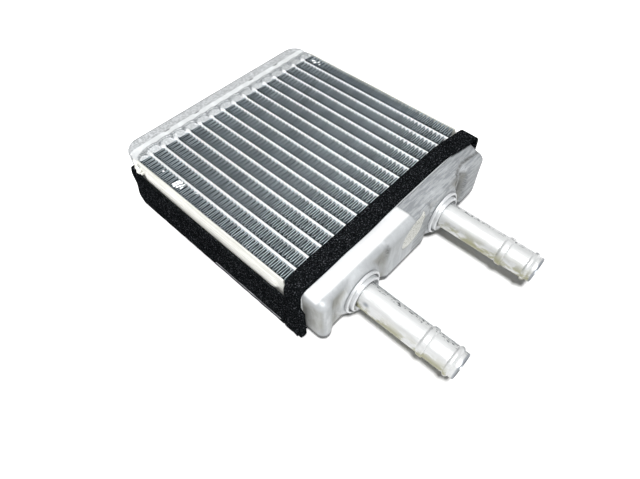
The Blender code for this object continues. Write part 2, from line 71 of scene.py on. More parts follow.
# Studio: place, size and power of each lamp, the fill light and the floor
KEY_LAMP = (Vector((0.20, -0.225, 0.60)), 0.10, 5.1)
TOP_LAMP = (Vector((-0.36, 0.36, 0.78)), 0.62, 0.4)
FILL_STRENGTH = 0.06
FLOOR_SIZE = 6.0
FLOOR_COLOUR = (0.93, 0.93, 0.93)
FLOOR_GLOW = (0.01, 0.9)
GLOW_CENTRE = (0.06, -0.07, 0.0)
GLOW_REACH = (0.10, 0.26)

# Folded fins
FIN_PITCH = 1.47 * MM
FIN_SHEET = 0.12 * MM
FOLD_REACH = 0.6 * MM
FOLD_SHARE = 0.4
FIN_HEM = 0.34 * MM
FIN_BRAZED = 0.28 * MM
FIN_WANDER = 0.14 * MM
FIN_SPLAY = (mm(-100, -25, 5), mm(0.20, 0.15, 0.07))

# Depth below a fin's edge, share of the lean, and whether the sheet is hemmed there
FIN_TIP = (
    (0.0, 1.0, 0.6), (0.12 * MM, 1.0, 1.0), (0.45 * MM, 0.8, 1.0), (0.70 * MM, 0.7, 0.0),
    (2.6 * MM, 0.15, 0.0), (7.0 * MM, 0.0, 0.0),
)

# Bent fins that catch the light: X, Y, length, width, in millimetres, and turn in degrees
SHREDS = (
    (-67.3, -74.0, 2.2, 0.9, 80), (-66.6, -71.6, 3.0, 1.0, 64), (-65.3, -73.2, 3.4, 0.8, 76),
    (-64.6, -70.9, 2.0, 0.9, 58), (-63.4, -73.6, 3.2, 0.9, 70), (-62.4, -71.4, 2.6, 0.7, 62),
    (-61.2, -73.0, 2.2, 0.6, 84), (-66.0, -75.0, 1.4, 1.0, 30), (-80.3, -72.1, 1.3, 0.7, 60),
    (-51.3, -70.0, 1.1, 0.6, 70), (-91.6, 71.2, 2.4, 0.8, 50), (-89.4, 70.2, 2.8, 0.8, 66),
    (-87.2, 72.4, 2.0, 0.7, 78), (-85.0, 70.6, 1.4, 0.6, 60),
)
SHRED_TILT = radians(34)
SHRED_LIFT = 0.35

# Tubes
TUBE_WAVE = 0.05 * MM
TUBE_STEP = 2.5 * MM

# Far header: its scallops as depth and reach to both sides, the one in the corner smaller
SCALLOP = (3.7 * MM, mm(8.8, 4.3))
CORNER_SCALLOP = (2.0 * MM, mm(3.4, 3.4))
SCALLOP_SHIFT = -0.35 * MM
SCALLOP_OVERLAP = 0.3 * MM

# As shares of a scallop's reach: the edge of its cup, its ridge and rim of painted shade, the next one
CUP_EDGE = (0.86, 1.0)
RIDGE_PLACE = (1.14, 0.19)
RIM_PLACE = (0.95, 0.07)
NEXT_SCALLOP = (0.97, 1.05)

# Far header: cups, ferrules, edges and staking slots
CUP_DROP = 2.6 * MM
CUP_FRONT = 0.9 * MM
CUP_CURVE = 1.3
RIDGE_HEIGHT = 0.25 * MM
FERRULE_DROP = 1.1 * MM
HEADER_INSET = 1.15 * MM
HEADER_ROUND = 0.35 * MM
HEADER_CORNER = 5.0 * MM
HEADER_TURN = 4.5 * MM
HEADER_BELOW = 0.15 * MM
HEADER_STEPS = mm(0.25, 0.42)
HEADER_UNEVEN = 0.10 * MM
EDGE_GREY = 0.45 * MM
# How dark the painted shade lies on the ridges, rims and cups and along the outer edge
RIDGE_GREY, RIM_GREY, CUP_GREY, END_GREY = 0.80, 0.85, 0.62, 0.5
STAKE_PLACES = mm(-48.5, -24.25, 24.25, 48.5)
STAKE_FROM_EDGE = 0.3 * MM
STAKE_SIZE = mm(0.9, 1.9)
STAKE_DEPTH = 0.55 * MM
POCKET_ROOM = 0.25 * MM
POCKET_CORNER = 3.6 * MM

# Braze blobs: half widths, and how far inside the tube's edges and off the header they sit
BRAZE_REACH = mm(2.6, 1.7, 1.2)
BRAZE_OFFSET = 0.6 * MM

# The wall of both trays
TANK_WALL = 1.2 * MM

# Far tray, whose joggle starts under the header's rim
TRAY_SPACING = 0.6 * MM
TRAY_ROUND = 2.6 * MM
TRAY_CORNER = 10.5 * MM
TRAY_PROUD = 0.9 * MM
TRAY_REACH = 0.7 * MM
TRAY_TUCK = 1.15 * MM
TRAY_OUTSIDE = 1.3 * MM
JOGGLE = mm(0.25, 0.85)
TRAY_UNEVEN = 0.12 * MM
# Where the painted shadow in the seam lies past the header's rim, and its half width
SEAM = 0.45 * MM

# Pipe tank
TANK_SPACING = 0.66 * MM
PIPE_TANK_CORNER = 4.2 * MM
REAR_PULL = 3.0 * MM
REAR_STEP = 0.8 * MM
REAR_SLOPE = 1.3 * MM

# Relief of the pipe tank's face, along Y and round the pipes
LOBE_PROUD = 2.4 * MM
LOBE_FOOT = 7.5 * MM
FRONT_LOBE = mm(-71.5, -66.0)
MIDDLE_FRONT = mm(-26.0, -21.5)
MIDDLE_REAR = mm(13.0, 18.0)
REAR_LOBE = mm(51.5, 55.5)
REAR_GROOVE = mm(50.0, 1.7)
REAR_GROOVE_DEPTH = 1.3 * MM
BOSS_EDGE = mm(14.6, 18.4)
FACE_UNEVEN = 0.18 * MM
ROOF_UNEVEN = 0.16 * MM
STAMP_CENTRE = mm(0.3, 29.9)
STAMP_SIZE = mm(13.0, 8.4)
STAMP_TAPER = 0.75
STAMP_TILT = radians(38)
STAMP_DEPTH = 0.35 * MM

# Stains and painted shade on the pipe tank's face, in its channels and hollows: Y, Z, half widths along
# both, in millimetres, and strength
TANK_STAINS_AND_SHADE = (
    (-64.8, 19.0, 1.8, 12.0, 0.30), (-43.5, 32.8, 3.0, 1.3, 0.75), (-39.0, 33.0, 2.4, 1.1, 0.6),
    (-23.6, 34.0, 1.2, 6.0, 0.75), (-28.6, 28.0, 2.0, 2.5, 0.4), (-47.0, 20.0, 3.0, 9.0, 0.12),
    (50.3, 13.0, 1.6, 6.0, 0.75), (51.0, 24.0, 1.2, 8.0, 0.8), (54.5, 22.0, 3.0, 8.0, 0.35),
    (50.0, 35.5, 2.5, 1.6, 0.7), (44.0, 36.5, 3.0, 1.0, 0.5), (13.0, 17.0, 1.5, 6.0, 0.25),
)

# The crease along the rear lobe, sunk and painted with shade, in millimetres: its places, and its half
# width and depth
REAR_CREASE = (
    (52.5, 50.0, 14.0), (52.3, 43.8, 30.0), (49.5, 47.0, 38.2), (47.0, 54.8, 38.6),
    (47.6, 61.7, 38.6), (49.2, 72.8, 38.6),
)
CREASE_SIZE = mm(0.95, 0.5)
CREASE_TURN = 37 * MM

# Marks on the pipes: which pipe, angle from +Y, and distance from the tank and half widths
PIPE_MARKS = (
    ("inlet", radians(150), mm(8.5, 2.0, 1.2)), ("outlet", radians(48), mm(26.0, 3.0, 0.8)),
    ("outlet", radians(40), mm(15.0, 4.0, 0.7)), ("outlet", radians(44), mm(20.0, 2.0, 0.9)),
)

# Pipes
PIPE_STEPS = 96
PIPE_SPACING = 0.26 * MM
PIPE_RADIUS = 8.0 * MM
PIPE_WALL = 1.2 * MM
BEAD_HEIGHT = 0.8 * MM
BEAD_START = 22.2 * MM
BEAD_LENGTH = 4.8 * MM
BEAD_SLOPES = mm(1.7, 0.8)
FLARE_START = 6.2 * MM
FLARE_SLOPES = mm(1.3, 1.5)
FLARE_END = 2.6 * MM
NOSE_INSET = 0.35 * MM
NOSE_ROUND = 0.35 * MM
PIPE_CREASE_DEPTH = 0.16 * MM
PIPE_CREASE_REACH = 0.5 * MM

# Collars, and the painted shade in the grooves outside the hub and at the pipe: radius, half width
COLLAR_GAP = 0.3 * MM
COLLAR_ROUND = 0.75 * MM
HUB_RADIUS = 11.3 * MM
HUB_FOOT = 1.7 * MM
HUB_GROOVE = (HUB_RADIUS + 0.7 * MM, 0.45 * MM)
PIPE_GROOVE = (PIPE_RADIUS, 0.4 * MM)

# Side plates
PLATE_SHEET = 1.2 * MM
PLATE_STEP = 1.3 * MM
PLATE_GAP = 0.3 * MM
PLATE_TONGUE = 2.9 * MM
TONGUE_SHEET = 0.3 * MM
TONGUE_PROUD = 0.35 * MM
TONGUE_DROP = 4.0 * MM
TONGUE_STEP = 0.6 * MM
RIB_WIDTH = 10.8 * MM
RIB_SLOPE = 1.6 * MM
RIB_BELOW_TOP = 8.6 * MM
RIB_PROUD = 1.1 * MM
RIB_INSET = 4.0 * MM

# Lumps of the tab crushed over the header's rim: X, Y and depth from its corner, and reach
TAB_LUMPS = (
    (2.2, 0.4, 3.6, 1.9), (2.6, 0.9, 6.4, 2.1), (3.0, 1.1, 9.2, 1.9), (4.2, 0.6, 7.6, 1.7),
    (1.6, 0.2, 1.8, 1.3), (5.6, 0.3, 9.8, 1.4),
)

# Foam
FOAM_ROUND = 0.45 * MM
FOAM_STEP = 1.0 * MM
FOAM_ROUGH = 0.16 * MM
FOAM_SKIN = 0.5 * MM

# How far the band's fin side strays near the front, above and below, and at the rear, and how
# far its tank side strays at the rear, above the middle and at the lower tip
FIN_SIDE_STRAY = mm(1.0, 1.2, 3.2)
TANK_SIDE_STRAY = mm(4.2, 0.8, 2.6)

# The band: its corner, its bulge and tip at the lower front, and the tail that overlaps it
BAND_CORNER = 4.8 * MM
BAND_ROOM = 0.3 * MM
BAND_WAVE = 0.3 * MM
BAND_BULGE = 3.0 * MM
BAND_TIP = 4.0 * MM
TAIL_START = 3.0 * MM
TAIL_REACH = 0.8 * MM
TAIL_BELOW_TOP = 14.0 * MM
TAIL_SLOPES = mm(4.0, 3.0)
TAIL_PROUD = 1.2 * MM
TAIL_INSIDE = 1.9 * MM

# The strip: its edges, its left end with an ear, its bulge, and the grey strip along it that is a painted
# highlight
STRIP_BOTTOM = 0.25 * MM
STRIP_TOP = 4.9 * MM
STRIP_WAVE = 0.25 * MM
STRIP_FALL = 0.8 * MM
STRIP_SAG = 1.2 * MM
STRIP_END = 1.9 * MM
STRIP_HEEL = mm(11.0, 8.0)
STRIP_TOE = mm(14.0, 6.0)
STRIP_BULGE = 1.5 * MM
EAR_LENGTH = 3.9 * MM
HIGHLIGHT_STRIP_RISE = 3.6 * MM
HIGHLIGHT_STRIP_SIZE = mm(0.8, 0.6)
HIGHLIGHT_STRIP_PROUD = 0.25 * MM


@cache
def box(node):
    """The lowest and highest corner of a node, as two arrays that are kept and never changed."""
    low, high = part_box(node)
    return np.array(low), np.array(high)


CORE_LOW, CORE_HIGH = box("fin_01")[0], box("fin_16")[1]
CORE_Z = (CORE_LOW[2] + CORE_HIGH[2]) / 2
EDGE_DEPTH = (CORE_HIGH[2] - CORE_LOW[2]) / 2 / MM
TUBES = [f"tube_{number:02d}" for number in range(1, 16)]
FINS = [f"fin_{number:02d}" for number in range(1, 17)]


def centre(node):
    """The middle of a node's box."""
    low, high = box(node)
    return (low + high) / 2


def smooth(low, high, value):
    """0 below low, 1 above high, and a smooth step between them."""
    share = np.clip((value - low) / (high - low), 0.0, 1.0)
    return share * share * (3 - 2 * share)


def hump(value, centre, width):
    """1 at a centre, and a soft fall to 0 on both sides."""
    return np.exp(-((value - centre) / width) ** 2)


def fade(low, high, value):
    """A smooth step between two places in millimetres."""
    return smooth(low * MM, high * MM, value)


def wander(x, y, z, scale=1.0):
    """Smooth noise from -1 to 1 at a place, whose features are about scale wide."""
    return noise.noise(Vector((x, y, z)) / scale)


# Surfaces


def add_node(tree, kind, output, inputs, **settings):
    """One output of a new node, its inputs each set to a value or linked to an output."""
    node = tree.nodes.new(kind)
    for name, value in settings.items():
        setattr(node, name, value)
    for name, value in inputs.items():
        if isinstance(value, bpy.types.NodeSocket):
            tree.links.new(value, node.inputs[name])
        else:
            node.inputs[name].default_value = value
    return node.outputs[output]


class Surface:
    """A Principled material with short ways to add texture nodes."""

    def __init__(self, name, colour, roughness, metallic):
        self.material = bpy.data.materials.new(name)
        self.material.use_nodes = True
        self.tree = self.material.node_tree
        self.inputs = self.tree.nodes["Principled BSDF"].inputs
        self.inputs["Base Color"].default_value = (*colour, 1.0)
        self.inputs["Roughness"].default_value = roughness
        self.inputs["Metallic"].default_value = metallic
        self.place = self.tree.nodes.new("ShaderNodeTexCoord").outputs["Object"]

    def stretched(self, scale):
        """Object coordinates in millimetres, times a scale along each axis."""
        scale = [1000.0 * share for share in scale]
        return add_node(self.tree, "ShaderNodeMapping", "Vector", {"Vector": self.place, "Scale": scale})

    def noise(self, scale, detail=4.0, rough=0.55, stretch=EVEN):
        """Noise with features about 1/scale mm wide."""
        return add_node(self.tree, "ShaderNodeTexNoise", "Fac", {
            "Scale": scale, "Detail": detail, "Roughness": rough, "Vector": self.stretched(stretch),
        })

    def value(self, source):
        """An output as it is, the place along an axis in millimetres, or a value painted on the mesh."""
        if not isinstance(source, str):
            return source
        if source in ("X", "Y", "Z"):
            return add_node(self.tree, "ShaderNodeSeparateXYZ", source, {"Vector": self.stretched(EVEN)})
        return add_node(self.tree, "ShaderNodeAttribute", "Fac", {}, attribute_name=source)

    def ramp(self, source, low, high, start=0.0, end=1.0):
        """A value mapped from low..high to start..end, and held outside."""
        return add_node(self.tree, "ShaderNodeMapRange", "Result", {
            "Value": self.value(source), "From Min": low, "From Max": high,
            "To Min": start, "To Max": end,
        }, interpolation_type="SMOOTHSTEP")

    def maths(self, operation, first, second):
        """One sum on two values, each a number or an output."""
        return add_node(self.tree, "ShaderNodeMath", "Value", {0: first, 1: second}, operation=operation)

    def times(self, *factors):
        """The product of some factors."""
        product, *others = [self.value(factor) for factor in factors]
        for other in others:
            product = self.maths("MULTIPLY", product, other)
        return product

    def tint(self, colour, *factors):
        """Mixes a colour into the base colour by the product of some factors."""
        base = self.inputs["Base Color"]
        under = base.links[0].from_socket if base.is_linked else base.default_value[:]
        mixed = add_node(self.tree, "ShaderNodeMix", "Result", {
            "A": under, "B": (*colour, 1.0), "Factor": self.times(*factors),
        }, data_type="RGBA")
        self.tree.links.new(mixed, base)

    def roughness(self, value, start, end):
        """Lets a noise drive the roughness from start to end."""
        self.tree.links.new(self.ramp(value, 0.3, 0.7, start, end), self.inputs["Roughness"])

    def bump(self, height, strength, distance):
        """Adds relief to the shading normal."""
        normal = self.inputs["Normal"]
        inputs = {"Strength": strength, "Distance": distance, "Height": height}
        if normal.is_linked:
            inputs["Normal"] = normal.links[0].from_socket
        self.tree.links.new(add_node(self.tree, "ShaderNodeBump", "Normal", inputs), normal)


def drawn_aluminium():
    """The pipes: satin, with drawing marks along X, olive stains with painted shade on the lower side, a
    painted dark reflection along the far side, grey and flecked, and marks with painted shade round the
    nose.
    """
    surface = Surface("drawn_aluminium", (0.62, 0.63, 0.63), 0.38, 0.65)
    streaks = surface.noise(2.2, 5.0, 0.6, (0.05, 1.0, 1.0))
    surface.tint((0.78, 0.79, 0.79), surface.ramp(streaks, 0.38, 0.66, 0.0, 0.4))
    # Olive patches on the lower side only: stains, and painted shade of the pipe's underside
    stain = surface.noise(0.16, 4.0, 0.6, (0.55, 1.0, 1.0))
    below = surface.ramp("Z", 28.5, 21.0)
    surface.tint((0.31, 0.305, 0.19), surface.ramp(stain, 0.40, 0.54), below)
    # Painted dark reflection along the pipe's far side: grey mottle on that edge, and dark flecks near it
    mottle = surface.noise(0.30, 4.0, 0.65, (0.5, 1.0, 1.0))
    edge = surface.ramp("aside", 0.45, 0.85)
    surface.tint((0.30, 0.33, 0.35), edge, surface.ramp(mottle, 0.36, 0.60, 0.35, 1.0))
    flecks = surface.noise(0.9, 3.0, 0.6, (0.55, 1.0, 1.0))
    far = surface.ramp(surface.ramp("aside", 0.15, 0.55), 0.05, 0.5)
    surface.tint((0.08, 0.09, 0.10), far, surface.ramp(flecks, 0.54, 0.60))
    # Dark marks, and painted shade round the rim of the nose
    surface.tint((0.20, 0.22, 0.25), surface.ramp("stain", 0.0, 1.0, 0.0, 0.8))
    surface.roughness(streaks, 0.30, 0.46)
    surface.bump(streaks, 0.2, 0.00008)
    surface.bump(surface.noise(0.5, 3.0), 0.2, 0.0003)
    return surface.material


def collar_aluminium():
    """The collars: bright turned metal, with painted shade in the groove round the hub and at the pipe."""
    surface = Surface("collar_aluminium", (0.66, 0.675, 0.69), 0.34, 0.65)
    mottle = surface.noise(0.4, 3.0)
    surface.tint((0.50, 0.515, 0.53), surface.ramp(mottle, 0.45, 0.75, 0.0, 0.5))
    # Painted shade in the grooves round the hub and at the pipe
    surface.tint((0.05, 0.055, 0.06), "stain")
    surface.roughness(mottle, 0.28, 0.42)
    return surface.material


def tube_aluminium():
    """The tubes: bright noses, a little frosted by flux."""
    surface = Surface("tube_aluminium", (0.88, 0.91, 0.92), 0.45, 0.25)
    frost = surface.noise(0.8, 4.0, 0.6, (0.5, 1.0, 1.0))
    surface.tint((0.97, 0.98, 0.98), surface.ramp(frost, 0.4, 0.7, 0.0, 0.8))
    surface.roughness(frost, 0.32, 0.55)
    surface.bump(frost, 0.35, 0.0003)
    return surface.material


def braze_metal():
    """Blobs of braze metal: white and lumpy."""
    surface = Surface("braze_metal", (0.92, 0.93, 0.94), 0.38, 0.5)
    lumps = surface.noise(0.9, 4.0)
    surface.tint((0.66, 0.68, 0.70), surface.ramp(lumps, 0.35, 0.6, 0.5, 0.0))
    surface.bump(lumps, 0.6, 0.0006)
    return surface.material


def pressed_aluminium(name, colour, metallic=0.5):
    """Pressed plate after brazing: mottled lighter and darker, with a fine grain and bumps."""
    surface = Surface(name, colour, 0.42, metallic)
    cloud = surface.noise(0.16, 5.0, 0.6)
    light = [min(1.0, share * 1.14) for share in colour]
    surface.tint(light, surface.ramp(cloud, 0.42, 0.68, 0.0, 0.9))
    grain = surface.noise(1.6, 4.0, 0.65)
    dark = [share * 0.80 for share in colour]
    surface.tint(dark, surface.ramp(grain, 0.56, 0.80, 0.0, 0.7))
    surface.roughness(cloud, 0.48, 0.62)
    surface.bump(grain, 0.30, 0.0002)
    surface.bump(surface.noise(0.22, 3.0), 0.35, 0.0008)
    return surface


def tank_aluminium():
    """The pipe tank: upright streaks, a painted highlight on the top of the front half, painted shade on
    the grey rear half, stains and painted shade in the hollows, and a painted shadow along the bottom.
    """
    surface = pressed_aluminium("tank_aluminium", (0.43, 0.447, 0.46), 0.35)
    below = surface.ramp("Z", 38.0, 33.0)
    streaks = surface.noise(0.40, 3.0, 0.55, (0.4, 1.0, 0.15))
    soft = surface.ramp("Y", -62.0, -50.0, 0.8, 0.4)
    surface.tint((0.62, 0.64, 0.65), below, soft, surface.ramp(streaks, 0.42, 0.62))
    # Painted shade: the rear half is greyer, in mottled streaks along Y
    rear = surface.ramp("Y", -0.5, 2.0)
    marks = surface.noise(0.8, 6.0, 0.68, (1.0, 0.10, 1.0))
    surface.tint((0.27, 0.285, 0.30), rear, surface.ramp(marks, 0.40, 0.58, 0.10, 1.0))
    # Painted highlight on the top of the front half
    top = surface.times(
        surface.ramp("Z", 37.5, 39.5), surface.ramp(rear, 1.0, 0.0), surface.ramp("X", 50.0, 47.5)
    )
    surface.tint((0.84, 0.85, 0.855), surface.ramp(top, 0.0, 1.0, 0.0, 0.85))
    # Brownish stains and painted shade in the face's hollows
    stain = surface.noise(0.12, 5.0, 0.62, (1.0, 1.0, 0.5))
    hollow_stain_and_shade = surface.times(surface.ramp("X", 53.8, 51.6), below)
    surface.tint((0.30, 0.30, 0.275), hollow_stain_and_shade, surface.ramp(stain, 0.30, 0.60, 0.25, 0.9))
    blot = surface.noise(0.5, 4.0, 0.6)
    # Stains, and painted shade in the channels and along the rear crease
    surface.tint((0.09, 0.09, 0.085), "stain", surface.ramp(blot, 0.30, 0.55, 0.4, 1.0))
    # Painted shade along the edge of the sunk stamp
    surface.tint((0.30, 0.31, 0.31), surface.ramp("stamp", 0.05, 0.35, 0.0, 0.6))
    surface.tint((0.70, 0.705, 0.675), surface.ramp("stamp", 0.50, 0.75))
    # Painted shadow along the bottom edge of the tank
    surface.tint((0.07, 0.075, 0.08), surface.ramp("Z", 10.2, 7.8, 0.0, 0.9))
    speckle = surface.noise(1.2, 4.0, 0.7)
    surface.tint((0.33, 0.33, 0.28), "stamp", surface.ramp(speckle, 0.50, 0.62, 0.0, 0.9))
    surface.roughness(speckle, 0.52, 0.64)
    return surface.material


def tray_aluminium():
    """The far tray: pressed plate, greyer and more mottled than the header beside it, with painted shade
    on its outer rounded edge and a painted shadow in the seam.
    """
    surface = pressed_aluminium("tray_aluminium", (0.64, 0.655, 0.67))
    mottle = surface.noise(0.75, 5.0, 0.62, (1.0, 0.7, 1.0))
    surface.tint((0.41, 0.425, 0.435), surface.ramp(mottle, 0.42, 0.58, 0.0, 0.9))
    # Painted shade on the outer rounded edge
    surface.tint((0.22, 0.23, 0.24), surface.ramp("X", -115.0, -116.4, 0.0, 0.85))
    # Painted shadow in the seam at the header's rim
    surface.tint((0.10, 0.105, 0.11), "stain", 0.85)
    return surface.material


def header_aluminium():
    """The header plate: mottled, grey with painted shade on its ridges, rims, cups and outer edge, and
    dark with painted shade in the staking slots.
    """
    surface = pressed_aluminium("header_aluminium", (0.76, 0.78, 0.79))
    # Painted shade on the ridges, rims, cups and outer edge, mottled by a noise
    flux = surface.noise(1.1, 5.0, 0.66)
    surface.tint((0.20, 0.215, 0.225), "stain", surface.ramp(flux, 0.34, 0.60, 0.45, 1.15))
    # Painted shade, near black, inside the staking slots
    surface.tint((0.015, 0.016, 0.018), "stake")
    return surface.material


def plate_aluminium():
    """The side plates: cream-white, with rolling marks along X."""
    surface = Surface("plate_aluminium", (0.86, 0.86, 0.81), 0.42, 0.7)
    marks = surface.noise(1.4, 4.0, 0.6, (0.02, 1.0, 1.0))
    surface.tint((0.60, 0.60, 0.54), surface.ramp(marks, 0.44, 0.66, 0.0, 0.8))
    patches = surface.noise(0.12, 3.0, 0.6, (0.4, 1.0, 1.0))
    surface.tint((0.90, 0.90, 0.87), surface.ramp(patches, 0.5, 0.75, 0.0, 0.5))
    surface.roughness(marks, 0.34, 0.50)
    surface.bump(marks, 0.4, 0.0003)
    return surface.material


def fin_aluminium():
    """The fins: thin bluish sheet, near black with painted shade for their depths, with a painted
    highlight along the hemmed edges and painted light on the fold crests, and louvre lines.
    """
    # The sheet's near-black base colour is painted shade for the depths between the legs
    surface = Surface("fin_aluminium", (0.023, 0.034, 0.042), 0.42, 0.45)
    groups = surface.noise(0.10, 3.0, 0.6, (1.0, 0.9, 0.1))
    surface.tint((0.058, 0.082, 0.10), surface.ramp(groups, 0.40, 0.66))
    height = surface.maths("SUBTRACT", surface.value("Z"), CORE_Z / MM)
    depth = surface.maths("ABSOLUTE", height, 0.0)
    # Painted light on the fold crests at the +Y side of each row, near the edges
    crest = surface.times("crest", surface.ramp(depth, EDGE_DEPTH - 2.5, EDGE_DEPTH - 0.6))
    surface.tint((0.42, 0.45, 0.47), surface.ramp(crest, 0.6, 1.0, 0.0, 0.5))
    # Painted highlight along the hemmed edges: halved near the -Y folds as painted shade, and brighter
    # towards +X as painted light
    edge = surface.ramp(depth, EDGE_DEPTH - 0.38, EDGE_DEPTH - 0.12)
    bare = surface.ramp("crest", 0.0, 0.07, 0.5, 1.0)
    legs = surface.noise(0.25, 3.0, 0.6, (1.0, 0.3, 0.0))
    shine = surface.times(
        surface.ramp(legs, 0.36, 0.60, 0.55, 1.0), surface.ramp("X", -60.0, 0.0, 0.72, 1.0)
    )
    surface.tint((0.78, 0.89, 0.95), edge, bare, shine)
    louvres = add_node(
        surface.tree, "ShaderNodeTexWave", "Fac", {"Scale": 0.30, "Vector": surface.stretched(EVEN)},
        bands_direction="Z",
    )
    surface.bump(louvres, 0.12, 0.0002)
    return surface.material


def black_foam():
    """Fine-celled foam: black pores between slightly lighter walls, and a few bright specks."""
    surface = Surface("black_foam", (0.001, 0.0014, 0.0018), 1.0, 0.0)
    cells = add_node(
        surface.tree, "ShaderNodeTexVoronoi", "Distance", {"Scale": 1.3, "Vector": surface.stretched(EVEN)}
    )
    surface.tint((0.008, 0.0095, 0.0105), surface.ramp(cells, 0.25, 0.65, 0.0, 0.9))
    specks = surface.noise(1.25, 3.0, 0.75)
    surface.tint((0.12, 0.125, 0.14), surface.ramp(specks, 0.57, 0.65, 0.0, 0.9))
    surface.inputs["Specular IOR Level"].default_value = 0.0
    surface.bump(cells, 0.9, 0.0005)
    surface.bump(surface.noise(0.5, 3.0), 0.5, 0.0006)
    return surface.material


def edge_highlight_strip():
    """A thin grey strip along the lower edge of the foam strip: a painted highlight, darker in patches."""
    surface = Surface("edge_highlight_strip", (0.26, 0.27, 0.28), 0.55, 0.0)
    strip_patches = surface.noise(0.4, 3.0, 0.6, (0.3, 1.0, 1.0))
    surface.tint((0.10, 0.10, 0.11), surface.ramp(strip_patches, 0.45, 0.62))
    return surface.material


# Mesh tools


def finish_mesh(mesh, angle=40):
    """Faces out, smooth apart from sharp edges."""
    shape = bmesh.new()
    shape.from_mesh(mesh)
    bmesh.ops.recalc_face_normals(shape, faces=shape.faces)
    shape.to_mesh(mesh)
    shape.free()
    mesh.shade_smooth()
    mesh.set_sharp_from_angle(angle=radians(angle))
    return mesh


def grid_mesh(name, points, close_rows=False, close_columns=False, caps=False):
    """A mesh through an array of rows by columns of points. Caps close the first and last row."""
    rows, columns = points.shape[:2]
    faces = []
    for row in range(rows if close_rows else rows - 1):
        below, above = row * columns, (row + 1) % rows * columns
        for column in range(columns if close_columns else columns - 1):
            after = (column + 1) % columns
            faces.append((below + column, below + after, above + after, above + column))
    if caps:
        faces.append(tuple(range(columns)))
        faces.append(tuple(range((rows - 1) * columns, rows * columns)))
    mesh = bpy.data.meshes.new(name)
    mesh.from_pydata(points.reshape(-1, 3).tolist(), [], faces)
    return mesh


def body_mesh(name, rings):
    """A closed body through rings of points."""
    return grid_mesh(name, np.array(rings), close_columns=True, caps=True)


def mesh_of(name, shape):
    """The mesh of an edited shape, which is freed."""
    mesh = bpy.data.meshes.new(name)
    shape.to_mesh(mesh)
    shape.free()
    return mesh


def paint(mesh, name, values):
    """Stores one value for each vertex of a mesh."""
    layer = mesh.attributes.new(name, "FLOAT", "POINT")
    layer.data.foreach_set("value", np.asarray(values, dtype=np.float32).reshape(-1))


def places_of(mesh):
    """The places of a mesh's vertices, one row each."""
    return np.array([vertex.co for vertex in mesh.vertices])


def added_object(name, data):
    """A new object in the scene."""
    thing = bpy.data.objects.new(name, data)
    bpy.context.scene.collection.objects.link(thing)
    return thing


def joined(name, meshes):
    """One mesh that holds several."""
    shape = bmesh.new()
    for mesh in meshes:
        shape.from_mesh(mesh)
    return mesh_of(name, shape)


def turned_mesh(name, profile, place):
    """A ring with a closed profile of (radius, distance along X), about an axis through a place."""
    angles = np.linspace(0.0, 2 * pi, PIPE_STEPS, endpoint=False)
    rings = [
        np.stack((
            np.full(PIPE_STEPS, place[0] + distance),
            place[1] + radius * np.cos(angles),
            place[2] + radius * np.sin(angles),
        ), axis=1)
        for radius, distance in profile
    ]
    return grid_mesh(name, np.stack(rings), close_rows=True, close_columns=True)


def add_piece(name, mesh, material, replaced=(), angle=40):
    """A piece of the heater core that rides on its only body."""
    finish_mesh(mesh, angle)
    mesh.materials.clear()
    mesh.materials.append(material)
    piece = added_object(name, mesh)
    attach(piece, "root")
    if replaced:
        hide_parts(*replaced)
    return piece


def spaced(start, end, step):
    """Places from start to end, about a step apart."""
    return np.linspace(start, end, max(2, round(abs(end - start) / step) + 1))


def arc(centre, radius, start, end, steps):
    """Points on an arc in a plane, with angles in degrees."""
    angles = np.radians(np.linspace(start, end, steps + 1))
    return [(centre[0] + radius * cos(a), centre[1] + radius * sin(a)) for a in angles]


def rounded_loop(half_width, half_height, radius, step, steps=8):
    """Places round a rectangle with round corners, with the outward direction at each."""
    loop = []
    corners = ((1, 1, 0), (-1, 1, 90), (-1, -1, 180), (1, -1, 270))
    for number, (side, level, start) in enumerate(corners):
        centre = (side * (half_width - radius), level * (half_height - radius))
        for share in np.linspace(0.0, 1.0, steps + 1):
            angle = radians(start + 90 * share)
            out = (cos(angle), sin(angle))
            loop.append((centre[0] + radius * out[0], centre[1] + radius * out[1], *out))
        here = loop[-1]
        length = 2 * (half_width - radius) if number % 2 == 0 else 2 * (half_height - radius)
        for along in spaced(0.0, length, step)[1:-1]:
            loop.append((here[0] - along * here[3], here[1] + along * here[2], *here[2:]))
    return loop


# Fins and tubes


def fin_lean(row, x):
    """How far the upper edge of a fin leans along X at a place in its row."""
    return FIN_WANDER * wander(x, row * 0.021, 0.0, 0.009)


